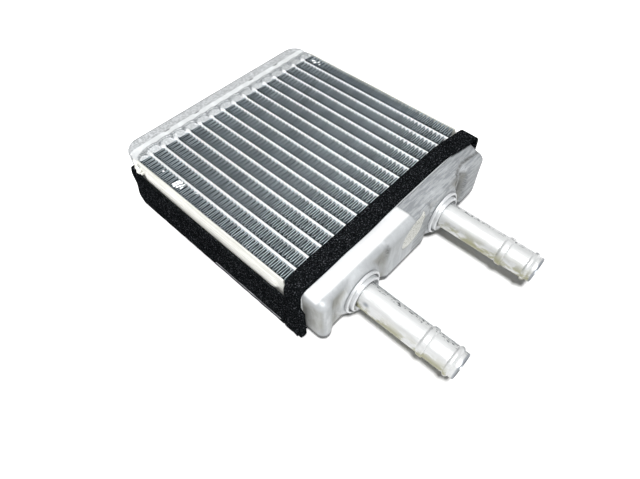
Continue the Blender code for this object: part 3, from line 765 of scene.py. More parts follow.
def fin_mesh(name, row):
    """One folded strip between two tubes: straight legs and round folds, with a wandering edge."""
    low, high = box(name)
    folds = round((high[0] - low[0]) / FIN_PITCH)
    pitch = (high[0] - low[0] - 2 * FIN_SHEET) / folds
    middle, half = (low[1] + high[1]) / 2, (high[1] - low[1]) / 2 + FIN_BRAZED - FIN_HEM / 2
    path, crests, splays = [], [], []
    for fold in range(folds + 1):
        side = 1 if fold % 2 else -1
        x = low[0] + FIN_SHEET + fold * pitch
        crests += [float(side > 0)] * 5
        splays += [side, side, 0, -side, -side]
        for angle in (180, 135, 90, 45, 0):
            path.append((
                x + FOLD_SHARE * pitch * cos(radians(angle)),
                middle + side * (half - FOLD_REACH * (1 - sin(radians(angle)))),
            ))
        if fold < folds:
            path.append((x + pitch / 2, middle))
            crests.append(0.5)
            splays.append(-side)
    path = np.array(path)
    path[:, 0] = np.clip(path[:, 0], low[0] + FIN_SHEET, high[0] - FIN_SHEET)
    ahead = np.gradient(path, axis=0)
    ahead /= np.linalg.norm(ahead, axis=1)[:, None]
    across = np.stack((-ahead[:, 1], ahead[:, 0]), axis=1) / 2
    leans = np.array([fin_lean(row, x) for x, _ in path])
    leans += np.interp(path[:, 0], *FIN_SPLAY) * np.array(splays)
    levels = [(high[2] - depth, lean, hem) for depth, lean, hem in FIN_TIP]
    levels += [(low[2] + depth, -lean, hem) for depth, lean, hem in reversed(FIN_TIP)]
    strip = []
    for side in (1, -1):
        for z, lean, hem in levels[::side]:
            flat = path + side * across * (FIN_SHEET + (FIN_HEM - FIN_SHEET) * hem)
            x = np.clip(flat[:, 0] + leans * lean, low[0], high[0])
            strip.append(np.stack((x, flat[:, 1], np.full(len(path), z)), axis=1))
    mesh = body_mesh(name, np.stack(strip, axis=1))
    paint(mesh, "crest", np.repeat(crests, len(strip)))
    return mesh


def make_fins(material):
    """A fine folded strip in place of each plain one."""
    for row, node in enumerate(FINS, start=1):
        add_piece(f"fin_row_{row:02d}", fin_mesh(node, row), material, [node], 60)


def make_shreds(material):
    """Torn and bent bits of fin that stand up and catch the light."""
    slats = []
    for number, (x, y, length, width, turn) in enumerate(SHREDS):
        shape = bmesh.new()
        bmesh.ops.create_grid(shape, x_segments=6, y_segments=3, size=0.5)
        for vertex in shape.verts:
            along, across = vertex.co.x, vertex.co.y
            vertex.co.z = SHRED_LIFT * wander(along * 2, across, number * 1.7)
            vertex.co.x *= length * (1 + 0.3 * wander(across * 3, number, 0.0))
            vertex.co.y *= width * (1 + 0.5 * wander(along * 3, number, 0.5))
        turned = Matrix.Rotation(radians(turn), 4, "Z") @ Matrix.Rotation(SHRED_TILT, 4, "X")
        place = Matrix.Translation(Vector((x, y, CORE_HIGH[2] / MM + SHRED_LIFT)) * MM)
        shape.transform(place @ turned @ Matrix.Scale(MM, 4))
        bmesh.ops.solidify(shape, geom=shape.faces[:], thickness=FIN_SHEET)
        slats.append(mesh_of("shred", shape))
    add_piece("fin_shreds", joined("fin_shreds", slats), material)


def make_tubes(material):
    """Flat tubes with round noses and slightly wavy sides."""
    for number, node in enumerate(TUBES, start=1):
        low, high = box(node)
        middle = centre(node)
        half = (high[1] - low[1]) / 2
        loop = rounded_loop(half, (high[2] - low[2]) / 2, half * 0.98, 0.004, 6)
        rings = []
        for x in spaced(low[0], high[0], TUBE_STEP):
            rings.append([
                (
                    x,
                    middle[1] + y + TUBE_WAVE * wander(x, number, z, 0.006) * abs(out_y),
                    middle[2] + z + TUBE_WAVE * wander(x, number + 0.5, y, 0.004) * abs(out_z),
                )
                for y, z, out_y, out_z in loop
            ])
        mesh = body_mesh(node, rings)
        add_piece(f"flat_tube_{number:02d}", mesh, material, [node])


# Header plates


def rim_fall(y, half):
    """How far the header's outer edge falls back at its round corners."""
    beyond = np.clip(np.abs(y) - (half - HEADER_CORNER), 0.0, HEADER_CORNER)
    return HEADER_CORNER - np.sqrt(HEADER_CORNER ** 2 - beyond ** 2)


def header_relief(x, y, low, high):
    """The level of the header's top over its plan, how dark its painted shade is, and its slots."""
    reach = high[0] - x
    inside, ridge, rim, free = (np.full(x.shape, value) for value in (0.0, 0.0, 0.0, 1.0))
    for number, node in enumerate(FINS):
        depth, sides = SCALLOP if number else CORNER_SCALLOP
        aside = y - centre(node)[1] - SCALLOP_SHIFT
        away = np.hypot(
            np.maximum(reach + SCALLOP_OVERLAP, 0.0) / depth, aside / np.where(aside < 0, *sides)
        )
        inside = np.maximum(inside, free * (1 - smooth(*CUP_EDGE, away)))
        ridge = ridge + free * hump(away, *RIDGE_PLACE)
        rim = np.maximum(rim, free * hump(away, *RIM_PLACE))
        free = free * smooth(*NEXT_SCALLOP, away)
    beyond = fade(-0.6, 0.8, reach)
    slope = np.clip((high[0] + CUP_FRONT - x) / (SCALLOP[0] + CUP_FRONT), 0.0, 1.0)
    drop = inside * CUP_DROP * (1 - slope ** CUP_CURVE)
    ferrule = (1 - inside) * FERRULE_DROP * fade(1.8, -1.2, reach)
    edge = low[0] + rim_fall(y, high[1])
    end = np.clip(edge + HEADER_ROUND - x, 0.0, HEADER_ROUND)
    turned = HEADER_ROUND - np.sqrt(np.maximum(HEADER_ROUND ** 2 - end ** 2, 0.0))
    level = high[2] - drop - ferrule + RIDGE_HEIGHT * np.minimum(ridge, 1.0) * beyond - turned
    shade = np.maximum(RIDGE_GREY * ridge, RIM_GREY * rim) * beyond
    shade += CUP_GREY * inside * smooth(-0.5, 0.4, slope) + END_GREY * hump(x, edge, EDGE_GREY)
    slots = np.zeros(x.shape)
    for place in STAKE_PLACES:
        along, across = x - edge - STAKE_FROM_EDGE, y - place
        away = (along / STAKE_SIZE[0]) ** 4 + (across / STAKE_SIZE[1]) ** 4
        slots = np.maximum(slots, np.exp(-away))
    return level - STAKE_DEPTH * slots, np.clip(shade, 0.0, 0.9), slots


def header_mesh(name, low, high):
    """The header plate as a solid under its relief, the same above and below."""
    xs = spaced(low[0], high[0] + CUP_FRONT, HEADER_STEPS[0])
    first, last = low[1] + HEADER_TURN, high[1] - HEADER_TURN
    edge = HEADER_TURN * (1 - np.cos(np.linspace(0.0, pi / 2, 9)))
    inner = spaced(first, last, HEADER_STEPS[1])[1:-1]
    ys = np.concatenate((low[1] + edge, inner, high[1] - edge[::-1]))
    x, y = np.meshgrid(xs, ys, indexing="ij")
    x += rim_fall(y, high[1]) * (xs[-1] - x) / (xs[-1] - xs[0])
    level, shade, slots = header_relief(x, y, low, high)
    side = np.maximum(np.maximum(first - y, y - last), 0.0)
    level -= HEADER_TURN - np.sqrt(np.maximum(HEADER_TURN ** 2 - side ** 2, 0.0))
    for index in np.ndindex(level.shape):
        level[index] += HEADER_UNEVEN * wander(x[index], y[index], 0.3, 0.004)
    top = np.stack((x, y, level), axis=2)
    bottom = np.stack((x, y, low[2] + high[2] - level), axis=2)
    rows = [np.concatenate((above, below[::-1])) for above, below in zip(top, bottom)]
    mesh = body_mesh(name, rows)
    # Paints the header's shade and the painted shade of its staking slots
    for layer, values in (("stain", shade), ("stake", slots)):
        paint(mesh, layer, [np.concatenate((row, row[::-1])) for row in values])
    return mesh


def pocketed(mesh, low, high):
    """A mesh without what lies in a prism along X with round corners."""
    middle, half = (low + high) / 2, (high - low) / 2
    loop = rounded_loop(half[1], half[2], POCKET_CORNER, 0.02, 8)
    rings = [[(x, middle[1] + y, middle[2] + z) for y, z, _, _ in loop] for x in (low[0], high[0])]
    prism = body_mesh("pocket", rings)
    piece = added_object("whole", finish_mesh(mesh))
    cutter = added_object("pocket", finish_mesh(prism))
    boolean = piece.modifiers.new("pocket", "BOOLEAN")
    boolean.operation = "DIFFERENCE"
    boolean.object = cutter
    graph = bpy.context.evaluated_depsgraph_get()
    rest = bpy.data.meshes.new_from_object(piece.evaluated_get(graph))
    bpy.data.objects.remove(piece)
    bpy.data.objects.remove(cutter)
    return rest


def make_return_header(material):
    """The far header plate: ridged scallops, a seam along its rim and staking slots."""
    low, high = box("return_header")
    low = low + np.array((HEADER_INSET, 0.0, 0.0))
    mesh = header_mesh("return_header_plate", low, high - np.array((0.0, 0.0, HEADER_BELOW)))
    pocket_low, pocket_high = (corner.copy() for corner in box("return_tank"))
    pocket_low -= POCKET_ROOM
    pocket_high += POCKET_ROOM
    pocket_low[0] = low[0] - MM
    mesh = pocketed(mesh, pocket_low, pocket_high)
    add_piece("return_header_plate", mesh, material, ["return_header"], 50)


def blob_mesh(name, centre, reach, seed):
    """A lumpy rounded blob."""
    shape = bmesh.new()
    bmesh.ops.create_icosphere(shape, subdivisions=3, radius=1.0)
    for vertex in shape.verts:
        swell = 1.0 + 0.22 * noise.noise(vertex.co * 1.6 + Vector((seed * 3.1, 0.0, 0.0)))
        vertex.co = Vector(centre) + Vector([c * r * swell for c, r in zip(vertex.co, reach)])
    return mesh_of(name, shape)


def make_braze(material):
    """Blobs of braze metal where each tube meets the return header, above and below."""
    start = box("return_header")[1][0] + BRAZE_OFFSET
    blobs = []
    for number, node in enumerate(TUBES):
        low, high = box(node)
        y = centre(node)[1]
        for level, z in enumerate((high[2] - BRAZE_OFFSET, low[2] + BRAZE_OFFSET)):
            seed = number + 20 * level
            x = start + BRAZE_OFFSET * wander(seed, 0.3, 0.0)
            reach = [r * (1.0 + 0.25 * wander(seed, 1.7, a)) for a, r in enumerate(BRAZE_REACH)]
            blobs.append(blob_mesh("blob", (x, y, z), reach, seed))
    add_piece("return_header_braze", joined("braze", blobs), material)


# Tanks


def tray_points(low, high, radius, spacing):
    """The faces of a tray that is open at low X, with round edges, as grids of points."""
    faces = []
    xs = spaced(low[0], high[0], spacing)
    ys = spaced(low[1], high[1], spacing)
    zs = spaced(low[2], high[2], spacing)
    for z in (low[2], high[2]):
        faces.append(np.array([[(x, y, z) for y in ys] for x in xs]))
    for y in (low[1], high[1]):
        faces.append(np.array([[(x, y, z) for z in zs] for x in xs]))
    faces.append(np.array([[(high[0], y, z) for z in zs] for y in ys]))
    floor = np.array((low[0], low[1] + radius, low[2] + radius))
    roof = np.array((high[0] - radius, high[1] - radius, high[2] - radius))
    for face in faces:
        core = np.clip(face, floor, roof)
        away = face - core
        length = np.linalg.norm(away, axis=2)[:, :, None]
        face[:] = core + away / np.maximum(length, 1e-9) * np.minimum(radius, length)
    return faces


def tray_mesh(name, faces):
    """The grids of a tray, welded along their edges."""
    whole = joined(name, [grid_mesh(name, face) for face in faces])
    shape = bmesh.new()
    shape.from_mesh(whole)
    bmesh.ops.remove_doubles(shape, verts=shape.verts, dist=0.02 * MM)
    shape.to_mesh(whole)
    shape.free()
    return whole


def add_wall(piece, thickness):
    """Gives an open tray its wall, growing inwards."""
    wall = piece.modifiers.new("wall", "SOLIDIFY")
    wall.thickness = thickness
    wall.offset = -1.0


def make_return_tank(material):
    """The far tray: uneven pressed plate, a little wider outside of the header's rim."""
    low, high = box("return_tank")
    flipped_low = np.array((-high[0], low[1], low[2]))
    flipped_high = np.array((TRAY_REACH - low[0], high[1], high[2]))
    middle, half = (flipped_low + flipped_high) / 2, (flipped_high - flipped_low) / 2
    rim = -box("return_header")[0][0] - HEADER_INSET - TRAY_TUCK
    faces = tray_points(flipped_low, flipped_high, TRAY_ROUND, TRAY_SPACING)

    def past_rim(x, y):
        return x - rim + rim_fall(np.minimum(np.abs(y), half[1]), half[1] + TRAY_OUTSIDE)

    for face in faces:
        x, y = face[:, :, 0], face[:, :, 1]
        ahead = np.maximum(x - (flipped_high[0] - TRAY_CORNER), 0.0)
        beside = np.maximum(np.abs(y) - (half[1] - TRAY_CORNER), 0.0)
        squeeze = 1 - np.maximum(ahead, beside) / np.maximum(np.hypot(ahead, beside), 1e-9)
        corner = (ahead > 0) * (beside > 0)
        x -= ahead * squeeze * corner
        y -= beside * squeeze * corner * np.sign(y)
        outside = smooth(*JOGGLE, past_rim(x, y))
        for axis in (1, 2):
            face[:, :, axis] += TRAY_PROUD * outside * (face[:, :, axis] - middle[axis]) / half[axis]
        x *= -1
        for point in face.reshape(-1, 3):
            point[0] += TRAY_UNEVEN * wander(*point, 0.02)
    mesh = tray_mesh("return_tray", faces)
    x, y, _ = places_of(mesh).T
    # Painted shadow in the seam at the header's rim
    paint(mesh, "stain", hump(past_rim(-x, y), SEAM, SEAM))
    piece = add_piece("return_tray", mesh, material, ["return_tank"])
    add_wall(piece, TANK_WALL)


def face_relief(y, z, pipes):
    """How far the pipe tank's face is raised at a place, from 0 to 1."""
    front = 1 - smooth(*FRONT_LOBE, y)
    middle = smooth(*MIDDLE_FRONT, y) * (1 - smooth(*MIDDLE_REAR, y))
    rear = smooth(*REAR_LOBE, y)
    raised = np.maximum(np.maximum(front, middle), rear)
    for pipe_y in pipes:
        away = np.hypot(y - pipe_y, z - CORE_Z)
        raised = np.maximum(raised, 1 - smooth(*BOSS_EDGE, away))
    return raised


def stamp_shape(y, z):
    """1 inside the oval stamp, 0 outside, with a soft edge."""
    along = (y - STAMP_CENTRE[0]) * cos(STAMP_TILT) + (z - STAMP_CENTRE[1]) * sin(STAMP_TILT)
    across = (z - STAMP_CENTRE[1]) * cos(STAMP_TILT) - (y - STAMP_CENTRE[0]) * sin(STAMP_TILT)
    wide = STAMP_SIZE[1] * (1 - STAMP_TAPER * smooth(0.0, STAMP_SIZE[0], along))
    away = np.hypot(along / STAMP_SIZE[0], across / wide)
    return 1 - smooth(0.86, 1.04, away)


def tank_stains_and_shade(x, y, z, face_x):
    """How much stain and painted shade lie on the pipe tank's face at a place."""
    stain = np.zeros(len(y))
    for mid_y, mid_z, wide, tall, strength in TANK_STAINS_AND_SHADE:
        away = ((y / MM - mid_y) / wide) ** 2 + ((z / MM - mid_z) / tall) ** 2
        stain = np.maximum(stain, strength * np.exp(-away))
    return stain * smooth(face_x - 3 * MM, face_x - MM, x)


def crease_share(points):
    """How near places are to the crease of the rear lobe, from 0 to 1."""
    corners = np.array(REAR_CREASE) * MM
    nearest = np.full(points.shape[:-1], 1.0)
    for start, end in zip(corners[:-1], corners[1:]):
        along = end - start
        share = np.clip((points - start) @ along / (along @ along), 0.0, 1.0)
        away = points - start - share[..., None] * along
        nearest = np.minimum(nearest, np.linalg.norm(away * (1.0, 1.0, 0.6), axis=-1))
    return hump(nearest, 0.0, CREASE_SIZE[0])


def make_pipe_tank(material):
    """The deep tray that carries the pipes: lobes, bosses, hollows and a bare oval stamp."""
    low, high = box("pipe_tank")
    pipes = [centre(node)[1] for node in ("inlet_pipe", "outlet_pipe")]
    body_high = high - np.array((LOBE_PROUD, 0.0, 0.0))
    faces = tray_points(low, body_high, PIPE_TANK_CORNER, TANK_SPACING)
    start = low[0] + LOBE_FOOT
    for face in faces:
        x, y, z = face[:, :, 0], face[:, :, 1], face[:, :, 2]
        upper = smooth(CORE_Z, high[2] - 4 * MM, z)
        beside = smooth(low[0] + 1.5 * MM, low[0] + 4 * MM, x)
        z -= REAR_STEP * fade(-0.2, 1.4, y) * upper * beside
        z -= REAR_SLOPE * fade(2, 12, y) * upper * smooth(low[0] + 3 * MM, high[0], x)
        y -= REAR_PULL * smooth(56 * MM, high[1], y) * smooth(low[0] + 3 * MM, low[0] + 13 * MM, x)
        share = np.clip((x - start) / (body_high[0] - start), 0.0, 1.0)
        x += LOBE_PROUD * face_relief(y, z, pipes) * share
        x -= STAMP_DEPTH * stamp_shape(y, z) * (x > body_high[0])
        x -= REAR_GROOVE_DEPTH * hump(y, *REAR_GROOVE) * share
        sunk = CREASE_SIZE[1] * crease_share(face)
        x -= sunk * (z < CREASE_TURN)
        z -= sunk * (z >= CREASE_TURN)
        for point in face.reshape(-1, 3):
            lump = wander(*point, 0.012)
            point[0] += FACE_UNEVEN * lump * smooth(start, body_high[0], point[0])
            if point[2] > CORE_Z:
                point[2] += ROOF_UNEVEN * (lump - 0.6) * smooth(-0.01, 0.02, point[1])
        np.clip(face, low, high, out=face)
    mesh = tray_mesh("pipe_tank_tray", faces)
    places = places_of(mesh)
    x, y, z = places.T
    # Stains and painted shade on the face, and painted shade along the rear crease
    stain = np.maximum(tank_stains_and_shade(x, y, z, body_high[0]), crease_share(places))
    paint(mesh, "stain", stain)
    paint(mesh, "stamp", stamp_shape(y, z) * (x > body_high[0] - 0.5 * MM))
    piece = add_piece("pipe_tank_tray", mesh, material, ["pipe_tank"], 60)
    add_wall(piece, TANK_WALL)


# Pipes and collars


def pipe_profile(length, inside):
    """The section of a pipe's wall: a bead with a crease each side, a flare and a round nose."""
    bead_end = length - BEAD_START + BEAD_LENGTH
    flare = length - FLARE_START
    outside = []
    for distance in spaced(-inside, length, PIPE_SPACING):
        radius = PIPE_RADIUS
        rise = smooth(bead_end - BEAD_LENGTH, bead_end - BEAD_LENGTH + BEAD_SLOPES[0], distance)
        fall = 1 - smooth(bead_end - BEAD_SLOPES[1], bead_end, distance)
        radius += BEAD_HEIGHT * rise * fall
        rise = smooth(flare, flare + FLARE_SLOPES[0], distance)
        fall = smooth(length - FLARE_END - FLARE_SLOPES[1], length - FLARE_END, distance)
        radius += BEAD_HEIGHT * rise * (1 - fall) - NOSE_INSET * fall
        radius -= max(0.0, distance - (length - NOSE_ROUND)) * 0.8
        for crease in (bead_end - BEAD_LENGTH, bead_end, flare, length - FLARE_END):
            radius -= PIPE_CREASE_DEPTH * max(0.0, 1 - abs(distance - crease) / PIPE_CREASE_REACH)
        outside.append((radius, distance))
    bore = PIPE_RADIUS - PIPE_WALL
    inner = [(bore, distance) for distance in spaced(length, -inside, 4 * MM)]
    return outside + inner


def pipe_marks_and_nose_shade(label, distance, turn):
    """How marked a pipe is at a distance from the tank and a turn from +Y, with painted shade round the
    rim of its nose.
    """
    stain = np.zeros(len(turn))
    for pipe, angle, (along, long, wide) in PIPE_MARKS:
        if pipe == label:
            away = ((distance - along) / long) ** 2 + ((turn - angle) * PIPE_RADIUS / wide) ** 2
            stain = np.maximum(stain, np.exp(-away))
    # Painted shade round the rim of the nose
    nose = (distance - distance.max() + 1.3 * MM) / (0.9 * MM)
    return np.maximum(stain, np.clip(nose, 0.0, 1.0))


def make_pipes(pipe_material, collar_material):
    """Both hose pipes and their collars."""
    face = box("pipe_tank")[1][0]
    for label in ("inlet", "outlet"):
        low, high = box(f"{label}_pipe")
        place = (face, *centre(f"{label}_pipe")[1:])
        mesh = turned_mesh(f"{label}_hose_pipe", pipe_profile(high[0] - face, face - low[0]), place)
        x, y, z = places_of(mesh).T
        turn = np.arctan2(z - place[2], y - place[1])
        paint(mesh, "aside", np.cos(turn))
        # Paints the pipe's marks and the painted shade at its nose
        paint(mesh, "stain", pipe_marks_and_nose_shade(label, x - face, turn))
        replaced = [f"{label}_pipe"]
        add_piece(f"{label}_hose_pipe", mesh, pipe_material, replaced, 50)
        low, high = box(f"{label}_collar")
        profile = collar_profile((high[1] - low[1]) / 2, high[0] - low[0])
        mesh = turned_mesh(f"{label}_pipe_collar", profile, (low[0], *place[1:]))
        # Painted shade in the groove round the hub and where the pipe comes out
        shades = [
            (deep > 0.0) * (0.95 * hump(ring, *HUB_GROOVE) + 0.8 * hump(ring, *PIPE_GROOVE))
            for ring, deep in profile
        ]
        paint(mesh, "stain", np.repeat(shades, PIPE_STEPS))
        replaced = [f"{label}_collar"]
        add_piece(f"{label}_pipe_collar", mesh, collar_material, replaced, 50)


def collar_profile(radius, height):
    """The section of a collar: a low disc, a groove, a round hub ring and a fillet."""
    bore = PIPE_RADIUS + COLLAR_GAP / 3
    edge, ring, foot = COLLAR_ROUND, HUB_RADIUS, HUB_FOOT
    profile = [(radius, 0.0)]
    profile += arc((radius - edge, foot - edge), edge, 0, 90, 8)
    profile += [(radius - edge - 0.3 * MM, foot), (ring + 1.2 * MM, foot - 0.15 * MM)]
    profile += arc((ring + 0.7 * MM, foot - 0.35 * MM), 0.5 * MM, 330, 210, 6)
    profile += [(ring, foot + 0.2 * MM)]
    profile += arc((ring - 0.9 * MM, height - 1.0 * MM), 0.9 * MM, 0, 140, 10)
    profile += arc((bore + 0.8 * MM, height - 0.7 * MM), 0.8 * MM, 260, 190, 5)
    profile += [(bore, height - 0.5 * MM), (bore, 0.0)]
    return profile


# Side plates


def rib_height(x, z):
    """How far the pressed rib stands out at a place on a side plate."""
    fin_low, fin_high = box("fin_01")
    start, end = fin_low[0] + RIB_INSET, fin_high[0] - RIB_INSET
    level = box("front_side_plate")[1][2] - RIB_BELOW_TOP
    spine = (end - start) / 2 - RIB_WIDTH / 2
    away = hypot(max(abs(x - (start + end) / 2) - spine, 0.0), z - level)
    return RIB_PROUD * (1 - smooth(RIB_WIDTH / 2 - RIB_SLOPE, RIB_WIDTH / 2, away))


def make_side_plate(label, side, material):
    """A plate with a pressed rib, a rolled upper edge and a tab over the header's rim."""
    node = f"{label}_side_plate"
    low, high = box(node)
    rim = abs(box("return_header")[0][1])
    plate_start = box("return_header")[1][0] + PLATE_GAP
    rings = []
    for x in spaced(plate_start, high[0] + PLATE_TONGUE, PLATE_STEP):
        ring = []
        tongue = smooth(high[0] - TONGUE_STEP, high[0] + TONGUE_STEP, x)
        outer = rim + TONGUE_PROUD * tongue
        inner = outer - PLATE_SHEET + (PLATE_SHEET - TONGUE_SHEET) * tongue
        edge = high[2] - TONGUE_DROP * tongue
        share = (edge - low[2]) / (high[2] - low[2])
        for z in spaced(low[2], high[2] - 0.4 * MM, 0.5 * MM):
            bend = 0.10 * MM * wander(x, z, side, 0.03)
            stand = outer - 0.05 * MM + bend + rib_height(x, z)
            ring.append((x, side * stand, low[2] + (z - low[2]) * share))
        ring.append((x, side * (outer - 0.15 * MM), edge - 0.12 * MM))
        ring.append((x, side * (outer - 0.45 * MM), edge))
        ring.append((x, side * (inner + 0.3 * MM), edge))
        for z in spaced(high[2] - 0.4 * MM, low[2], 1.0 * MM):
            ring.append((x, side * (inner + rib_height(x, z)), low[2] + (z - low[2]) * share))
        rings.append(ring)
    plate = body_mesh(node, rings)
    lumps = [
        blob_mesh(
            node, (low[0] + x * MM, side * (rim + y * MM), high[2] - z * MM),
            (reach * MM, 0.9 * MM, 0.9 * reach * MM), number + 5 * side,
        )
        for number, (x, y, z, reach) in enumerate(TAB_LUMPS)
    ]
    mesh = joined(node, [plate, *lumps])
    add_piece(f"{label}_plate", mesh, material, [node])


# Foam


def strip_profile(width, thickness, step):
    """The section of a foam strip: (along its width, away from its glued side)."""
    r = FOAM_ROUND
    profile = [(0.0, d) for d in spaced(0.0, thickness - r, step)]
    profile += arc((r, thickness - r), r, 180, 90, 3)
    profile += [(w, thickness) for w in spaced(r, width - r, step)[1:-1]]
    profile += arc((width - r, thickness - r), r, 90, 0, 3)
    profile += [(width, d) for d in spaced(thickness - r, 0.0, step)[1:]]
    profile += [(w, 0.0) for w in spaced(width, 0.0, 2 * step)[1:-1]]
    return profile


def band_edges(y, z):
    """How far the band's two edges stray along X at a place round it: fin side, tank side."""
    near, far = fade(-66, -79, y), fade(45, 78, y)
    upper = fade(24, 38, z)
    above, below, behind = FIN_SIDE_STRAY
    fin_side = above * near * upper + below * near * (1 - upper) + behind * far
    behind, above, tip = TANK_SIDE_STRAY
    tank_side = behind * far + above * fade(10, -20, y) * upper
    tank_side += tip * fade(-77, -79, y) * fade(9, 3, z)
    return (
        fin_side + BAND_WAVE * wander(y, z, 0.1, 0.018),
        tank_side + BAND_WAVE * wander(y, z, 0.7, 0.018),
    )


def make_foam_band(material):
    """The foam wrapped round the pipe header, with soft wandering edges and an overlapping tail."""
    low, high = box("foam_band")
    header_low, header_high = box("pipe_header")
    thickness = header_low[2] - low[2] - BAND_ROOM
    width = header_high[0] - low[0] - 0.2 * MM
    middle = centre("pipe_header")
    half = (header_high - header_low) / 2 + BAND_ROOM
    profile = strip_profile(width, thickness, 0.7 * MM)
    rings = []
    for y, z, out_y, out_z in rounded_loop(half[1], half[2], BAND_CORNER, FOAM_STEP):
        fin_side, tank_side = band_edges(y, middle[2] + z)
        bulge = BAND_BULGE * fade(-70, -78, y) * fade(-8, -18, z)
        ring = []
        for along, away in profile:
            share = along / width
            x = low[0] + along + fin_side * (1 - share) + tank_side * share
            swell = away + FOAM_ROUGH * (away > FOAM_SKIN) * (wander(x, y, z, 0.004) - 0.5)
            outward = max(0.0, swell / thickness) * bulge
            corner = BAND_TIP * abs(out_y * out_z) * (bulge > 0) * swell / thickness
            ring.append((
                x, middle[1] + y + out_y * swell - outward * smooth(0.05, 0.5, -out_y),
                max(middle[2] + z + out_z * swell - corner, low[2]),
            ))
        rings.append(ring)
    band = grid_mesh("foam_band_wrap", np.array(rings), close_rows=True, close_columns=True)
    tail_end = high[0] + TAIL_REACH

    def tail_bottom(x):
        return low[2] + 0.4 * MM + TAIL_SLOPES[0] * smooth(high[0] - MM, tail_end, x)

    def tail_top(x):
        return high[2] - TAIL_BELOW_TOP - TAIL_SLOPES[1] * smooth(high[0] - 2 * MM, tail_end, x)

    tail = foam_slab(
        "tail", (header_high[0] - TAIL_START, tail_end), tail_bottom, tail_top,
        low[1] - TAIL_PROUD, low[1] + TAIL_INSIDE,
    )
    mesh = joined("foam_band_wrap", (band, tail))
    piece = add_piece("foam_band_wrap", mesh, material, ["foam_band"], 70)


def foam_slab(name, ends, bottom, top, outer_y, inner_y, swollen=None, pressed=None):
    """A flat foam strip on the front side, between two levels that may change along X."""
    rings = []
    for x in spaced(ends[0], ends[1], 0.45 * MM):
        low, high = bottom(x), top(x)
        profile = strip_profile(high - low, inner_y - outer_y, 0.8 * MM)
        near_end = min(x - ends[0], ends[1] - x)
        pull = FOAM_ROUND * (1 - min(1.0, near_end / FOAM_ROUND))
        ring = []
        for along, away in profile:
            rough = FOAM_ROUGH * (wander(x, away, low + along, 0.005) - 0.5)
            swell = away + (rough - pull) * (away > FOAM_SKIN)
            if swollen:
                swell += swollen(low + along) * away / (inner_y - outer_y)
            if pressed:
                swell = max(swell, pressed(x, low + along))
            ring.append((x, inner_y - swell, low + along))
        rings.append(ring)
    count = min(len(ring) for ring in rings)
    return body_mesh(name, [resampled(ring, count) for ring in rings])


def resampled(ring, count):
    """The same closed ring with another number of points."""
    places = np.linspace(0, len(ring), count, endpoint=False)
    points = np.array(list(ring) + [ring[0]])
    return [
        tuple(np.interp(place, np.arange(len(points)), points[:, axis]) for axis in range(3))
        for place in places
    ]


def make_foam_strip(material, edge_highlight):
    """The foam strip on the front side, with an ear at the return end, and below it a thin grey strip that
    is a painted highlight.
    """
    low, high = box("foam_strip")
    ear_end = low[0] + EAR_LENGTH
    strip_top = high[2] - STRIP_TOP
    start = low[0] - STRIP_END

    def rounding(x, size):
        return size[0] * (1 - sqrt(1 - max(0.0, 1 - (x - start) / size[1]) ** 2))

    def bottom(x):
        return STRIP_BOTTOM + STRIP_WAVE * wander(x, 0.0, 0.3, 0.02) + rounding(x, STRIP_HEEL)

    def top(x):
        wave = STRIP_WAVE * wander(x, 0.0, 0.9, 0.02)
        ear = smooth(ear_end + 0.6 * MM, ear_end - 0.3 * MM, x)
        fall = STRIP_FALL + STRIP_SAG * fade(-95, -30, x)
        return strip_top + wave - fall + (high[2] - strip_top) * ear - rounding(x, STRIP_TOE)

    def swollen(z):
        return STRIP_BULGE * fade(16, 3, z)

    def pressed(x, z):
        return rib_height(x, z) + high[1] - box("return_header")[0][1] + 0.1 * MM

    slab = foam_slab(
        "foam_side_strip", (start, high[0]), bottom, top, low[1], high[1], swollen, pressed
    )
    piece = add_piece("foam_side_strip", slab, material, ["foam_strip"], 70)
    # A thin grey strip near the lower edge: a painted highlight
    rings = []
    for x in spaced(-30 * MM, high[0] - 2 * MM, 2 * MM):
        z = bottom(x) + HIGHLIGHT_STRIP_RISE
        front, top_z = low[1] - HIGHLIGHT_STRIP_PROUD - swollen(z), z + HIGHLIGHT_STRIP_SIZE[1]
        back = front + HIGHLIGHT_STRIP_SIZE[0]
        rings.append([(x, front, z), (x, front, top_z), (x, back, top_z), (x, back, z)])
    mesh = body_mesh("edge_highlight", rings)
    add_piece("foam_strip_edge_highlight", mesh, edge_highlight)


# Studio


def make_camera():
    """The photograph's view of the heater core."""
    camera = added_object("camera", bpy.data.cameras.new("camera"))
    camera.data.lens = CAMERA_LENS
    camera.data.sensor_width = 36.0
    camera.data.sensor_fit = "HORIZONTAL"
    camera.data.clip_start = 0.01
    camera.location = CAMERA_PLACE
    aim = (CAMERA_TARGET - CAMERA_PLACE).to_track_quat("-Z", "Y").to_matrix()
    camera.rotation_euler = (aim @ Matrix.Rotation(CAMERA_ROLL, 3, "Z")).to_euler()
    bpy.context.scene.camera = camera


def add_lamp(name, place, size, power):
    """A round soft lamp that shines at the heater core."""
    lamp = bpy.data.lights.new(name, "AREA")
    lamp.shape = "DISK"
    lamp.size = size
    lamp.energy = power
    holder = added_object(name, lamp)
    holder.location = place
    holder.rotation_euler = (-place).to_track_quat("-Z", "Y").to_euler()


def make_lights():
    """A soft lamp above the camera's side, a weaker one behind, and a pale surrounding."""
    add_lamp("key", *KEY_LAMP)
    add_lamp("top", *TOP_LAMP)
    world = bpy.data.worlds.new("studio")
    bpy.context.scene.world = world
    world.use_nodes = True
    tree = world.node_tree
    background = tree.nodes["Background"].inputs
    background["Color"].default_value = WHITE
    strength = add_node(tree, "ShaderNodeMapRange", "Result", {
        "Value": seen_directly(tree), "To Min": FILL_STRENGTH, "To Max": 1.0,
    })
    tree.links.new(strength, background["Strength"])


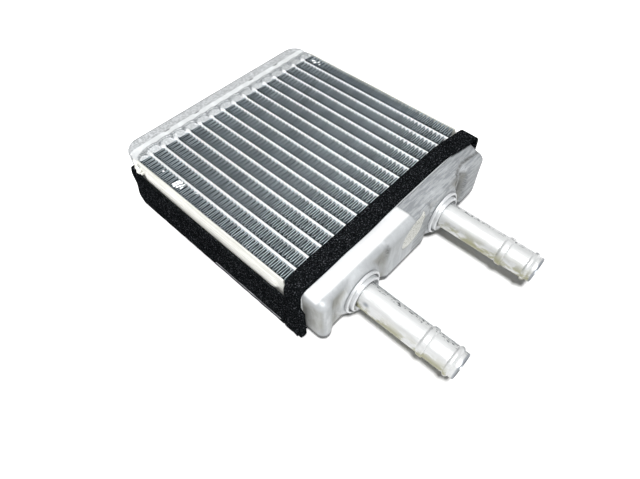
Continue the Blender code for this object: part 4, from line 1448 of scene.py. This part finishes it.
def seen_directly(tree):
    """1 for rays from the camera or from a mirror or glass surface, 0 for the rest."""
    rays = tree.nodes.new("ShaderNodeLightPath").outputs
    seen = rays["Is Camera Ray"]
    for kind in ("Is Glossy Ray", "Is Transmission Ray"):
        seen = add_node(tree, "ShaderNodeMath", "Value", {0: seen, 1: rays[kind]}, operation="MAXIMUM")
    return seen


def make_floor():
    """A pale floor that keeps the object's shadow, and glows where the lamp's light falls off."""
    mesh = bpy.data.meshes.new("floor")
    half = FLOOR_SIZE / 2
    corners = [(-half, -half, 0.0), (half, -half, 0.0), (half, half, 0.0), (-half, half, 0.0)]
    mesh.from_pydata(corners, [], [(0, 1, 2, 3)])
    floor = added_object("floor", mesh)
    floor.location.z = -0.0001
    surface = Surface("floor", FLOOR_COLOUR, 0.9, 0.0)
    surface.inputs["Specular IOR Level"].default_value = 0.0
    surface.inputs["Emission Color"].default_value = WHITE
    away = add_node(
        surface.tree, "ShaderNodeVectorMath", "Value", {0: surface.place, 1: GLOW_CENTRE},
        operation="DISTANCE",
    )
    rise = surface.ramp(away, *GLOW_REACH, *FLOOR_GLOW)
    glow = surface.times(seen_directly(surface.tree), rise)
    surface.tree.links.new(glow, surface.inputs["Emission Strength"])
    mesh.materials.append(surface.material)


def dress_frame(pressed):
    """Gives the CAD pieces that stay their surface."""
    for node in ("pipe_header", "tank_baffle"):
        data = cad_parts[node].data
        data.materials.clear()
        data.materials.append(pressed)


make_camera()
make_lights()
make_floor()
PRESSED = header_aluminium()
dress_frame(PRESSED)
make_fins(fin_aluminium())
TUBE_METAL = tube_aluminium()
make_tubes(TUBE_METAL)
make_shreds(TUBE_METAL)
make_return_header(PRESSED)
make_braze(braze_metal())
make_return_tank(tray_aluminium())
make_pipe_tank(tank_aluminium())
make_pipes(drawn_aluminium(), collar_aluminium())
PLATE = plate_aluminium()
make_side_plate("front", -1, PLATE)
make_side_plate("rear", 1, PLATE)
BLACK_FOAM = black_foam()
make_foam_band(BLACK_FOAM)
make_foam_strip(BLACK_FOAM, edge_highlight_strip())

bpy.context.scene.view_settings.view_transform = "Standard"
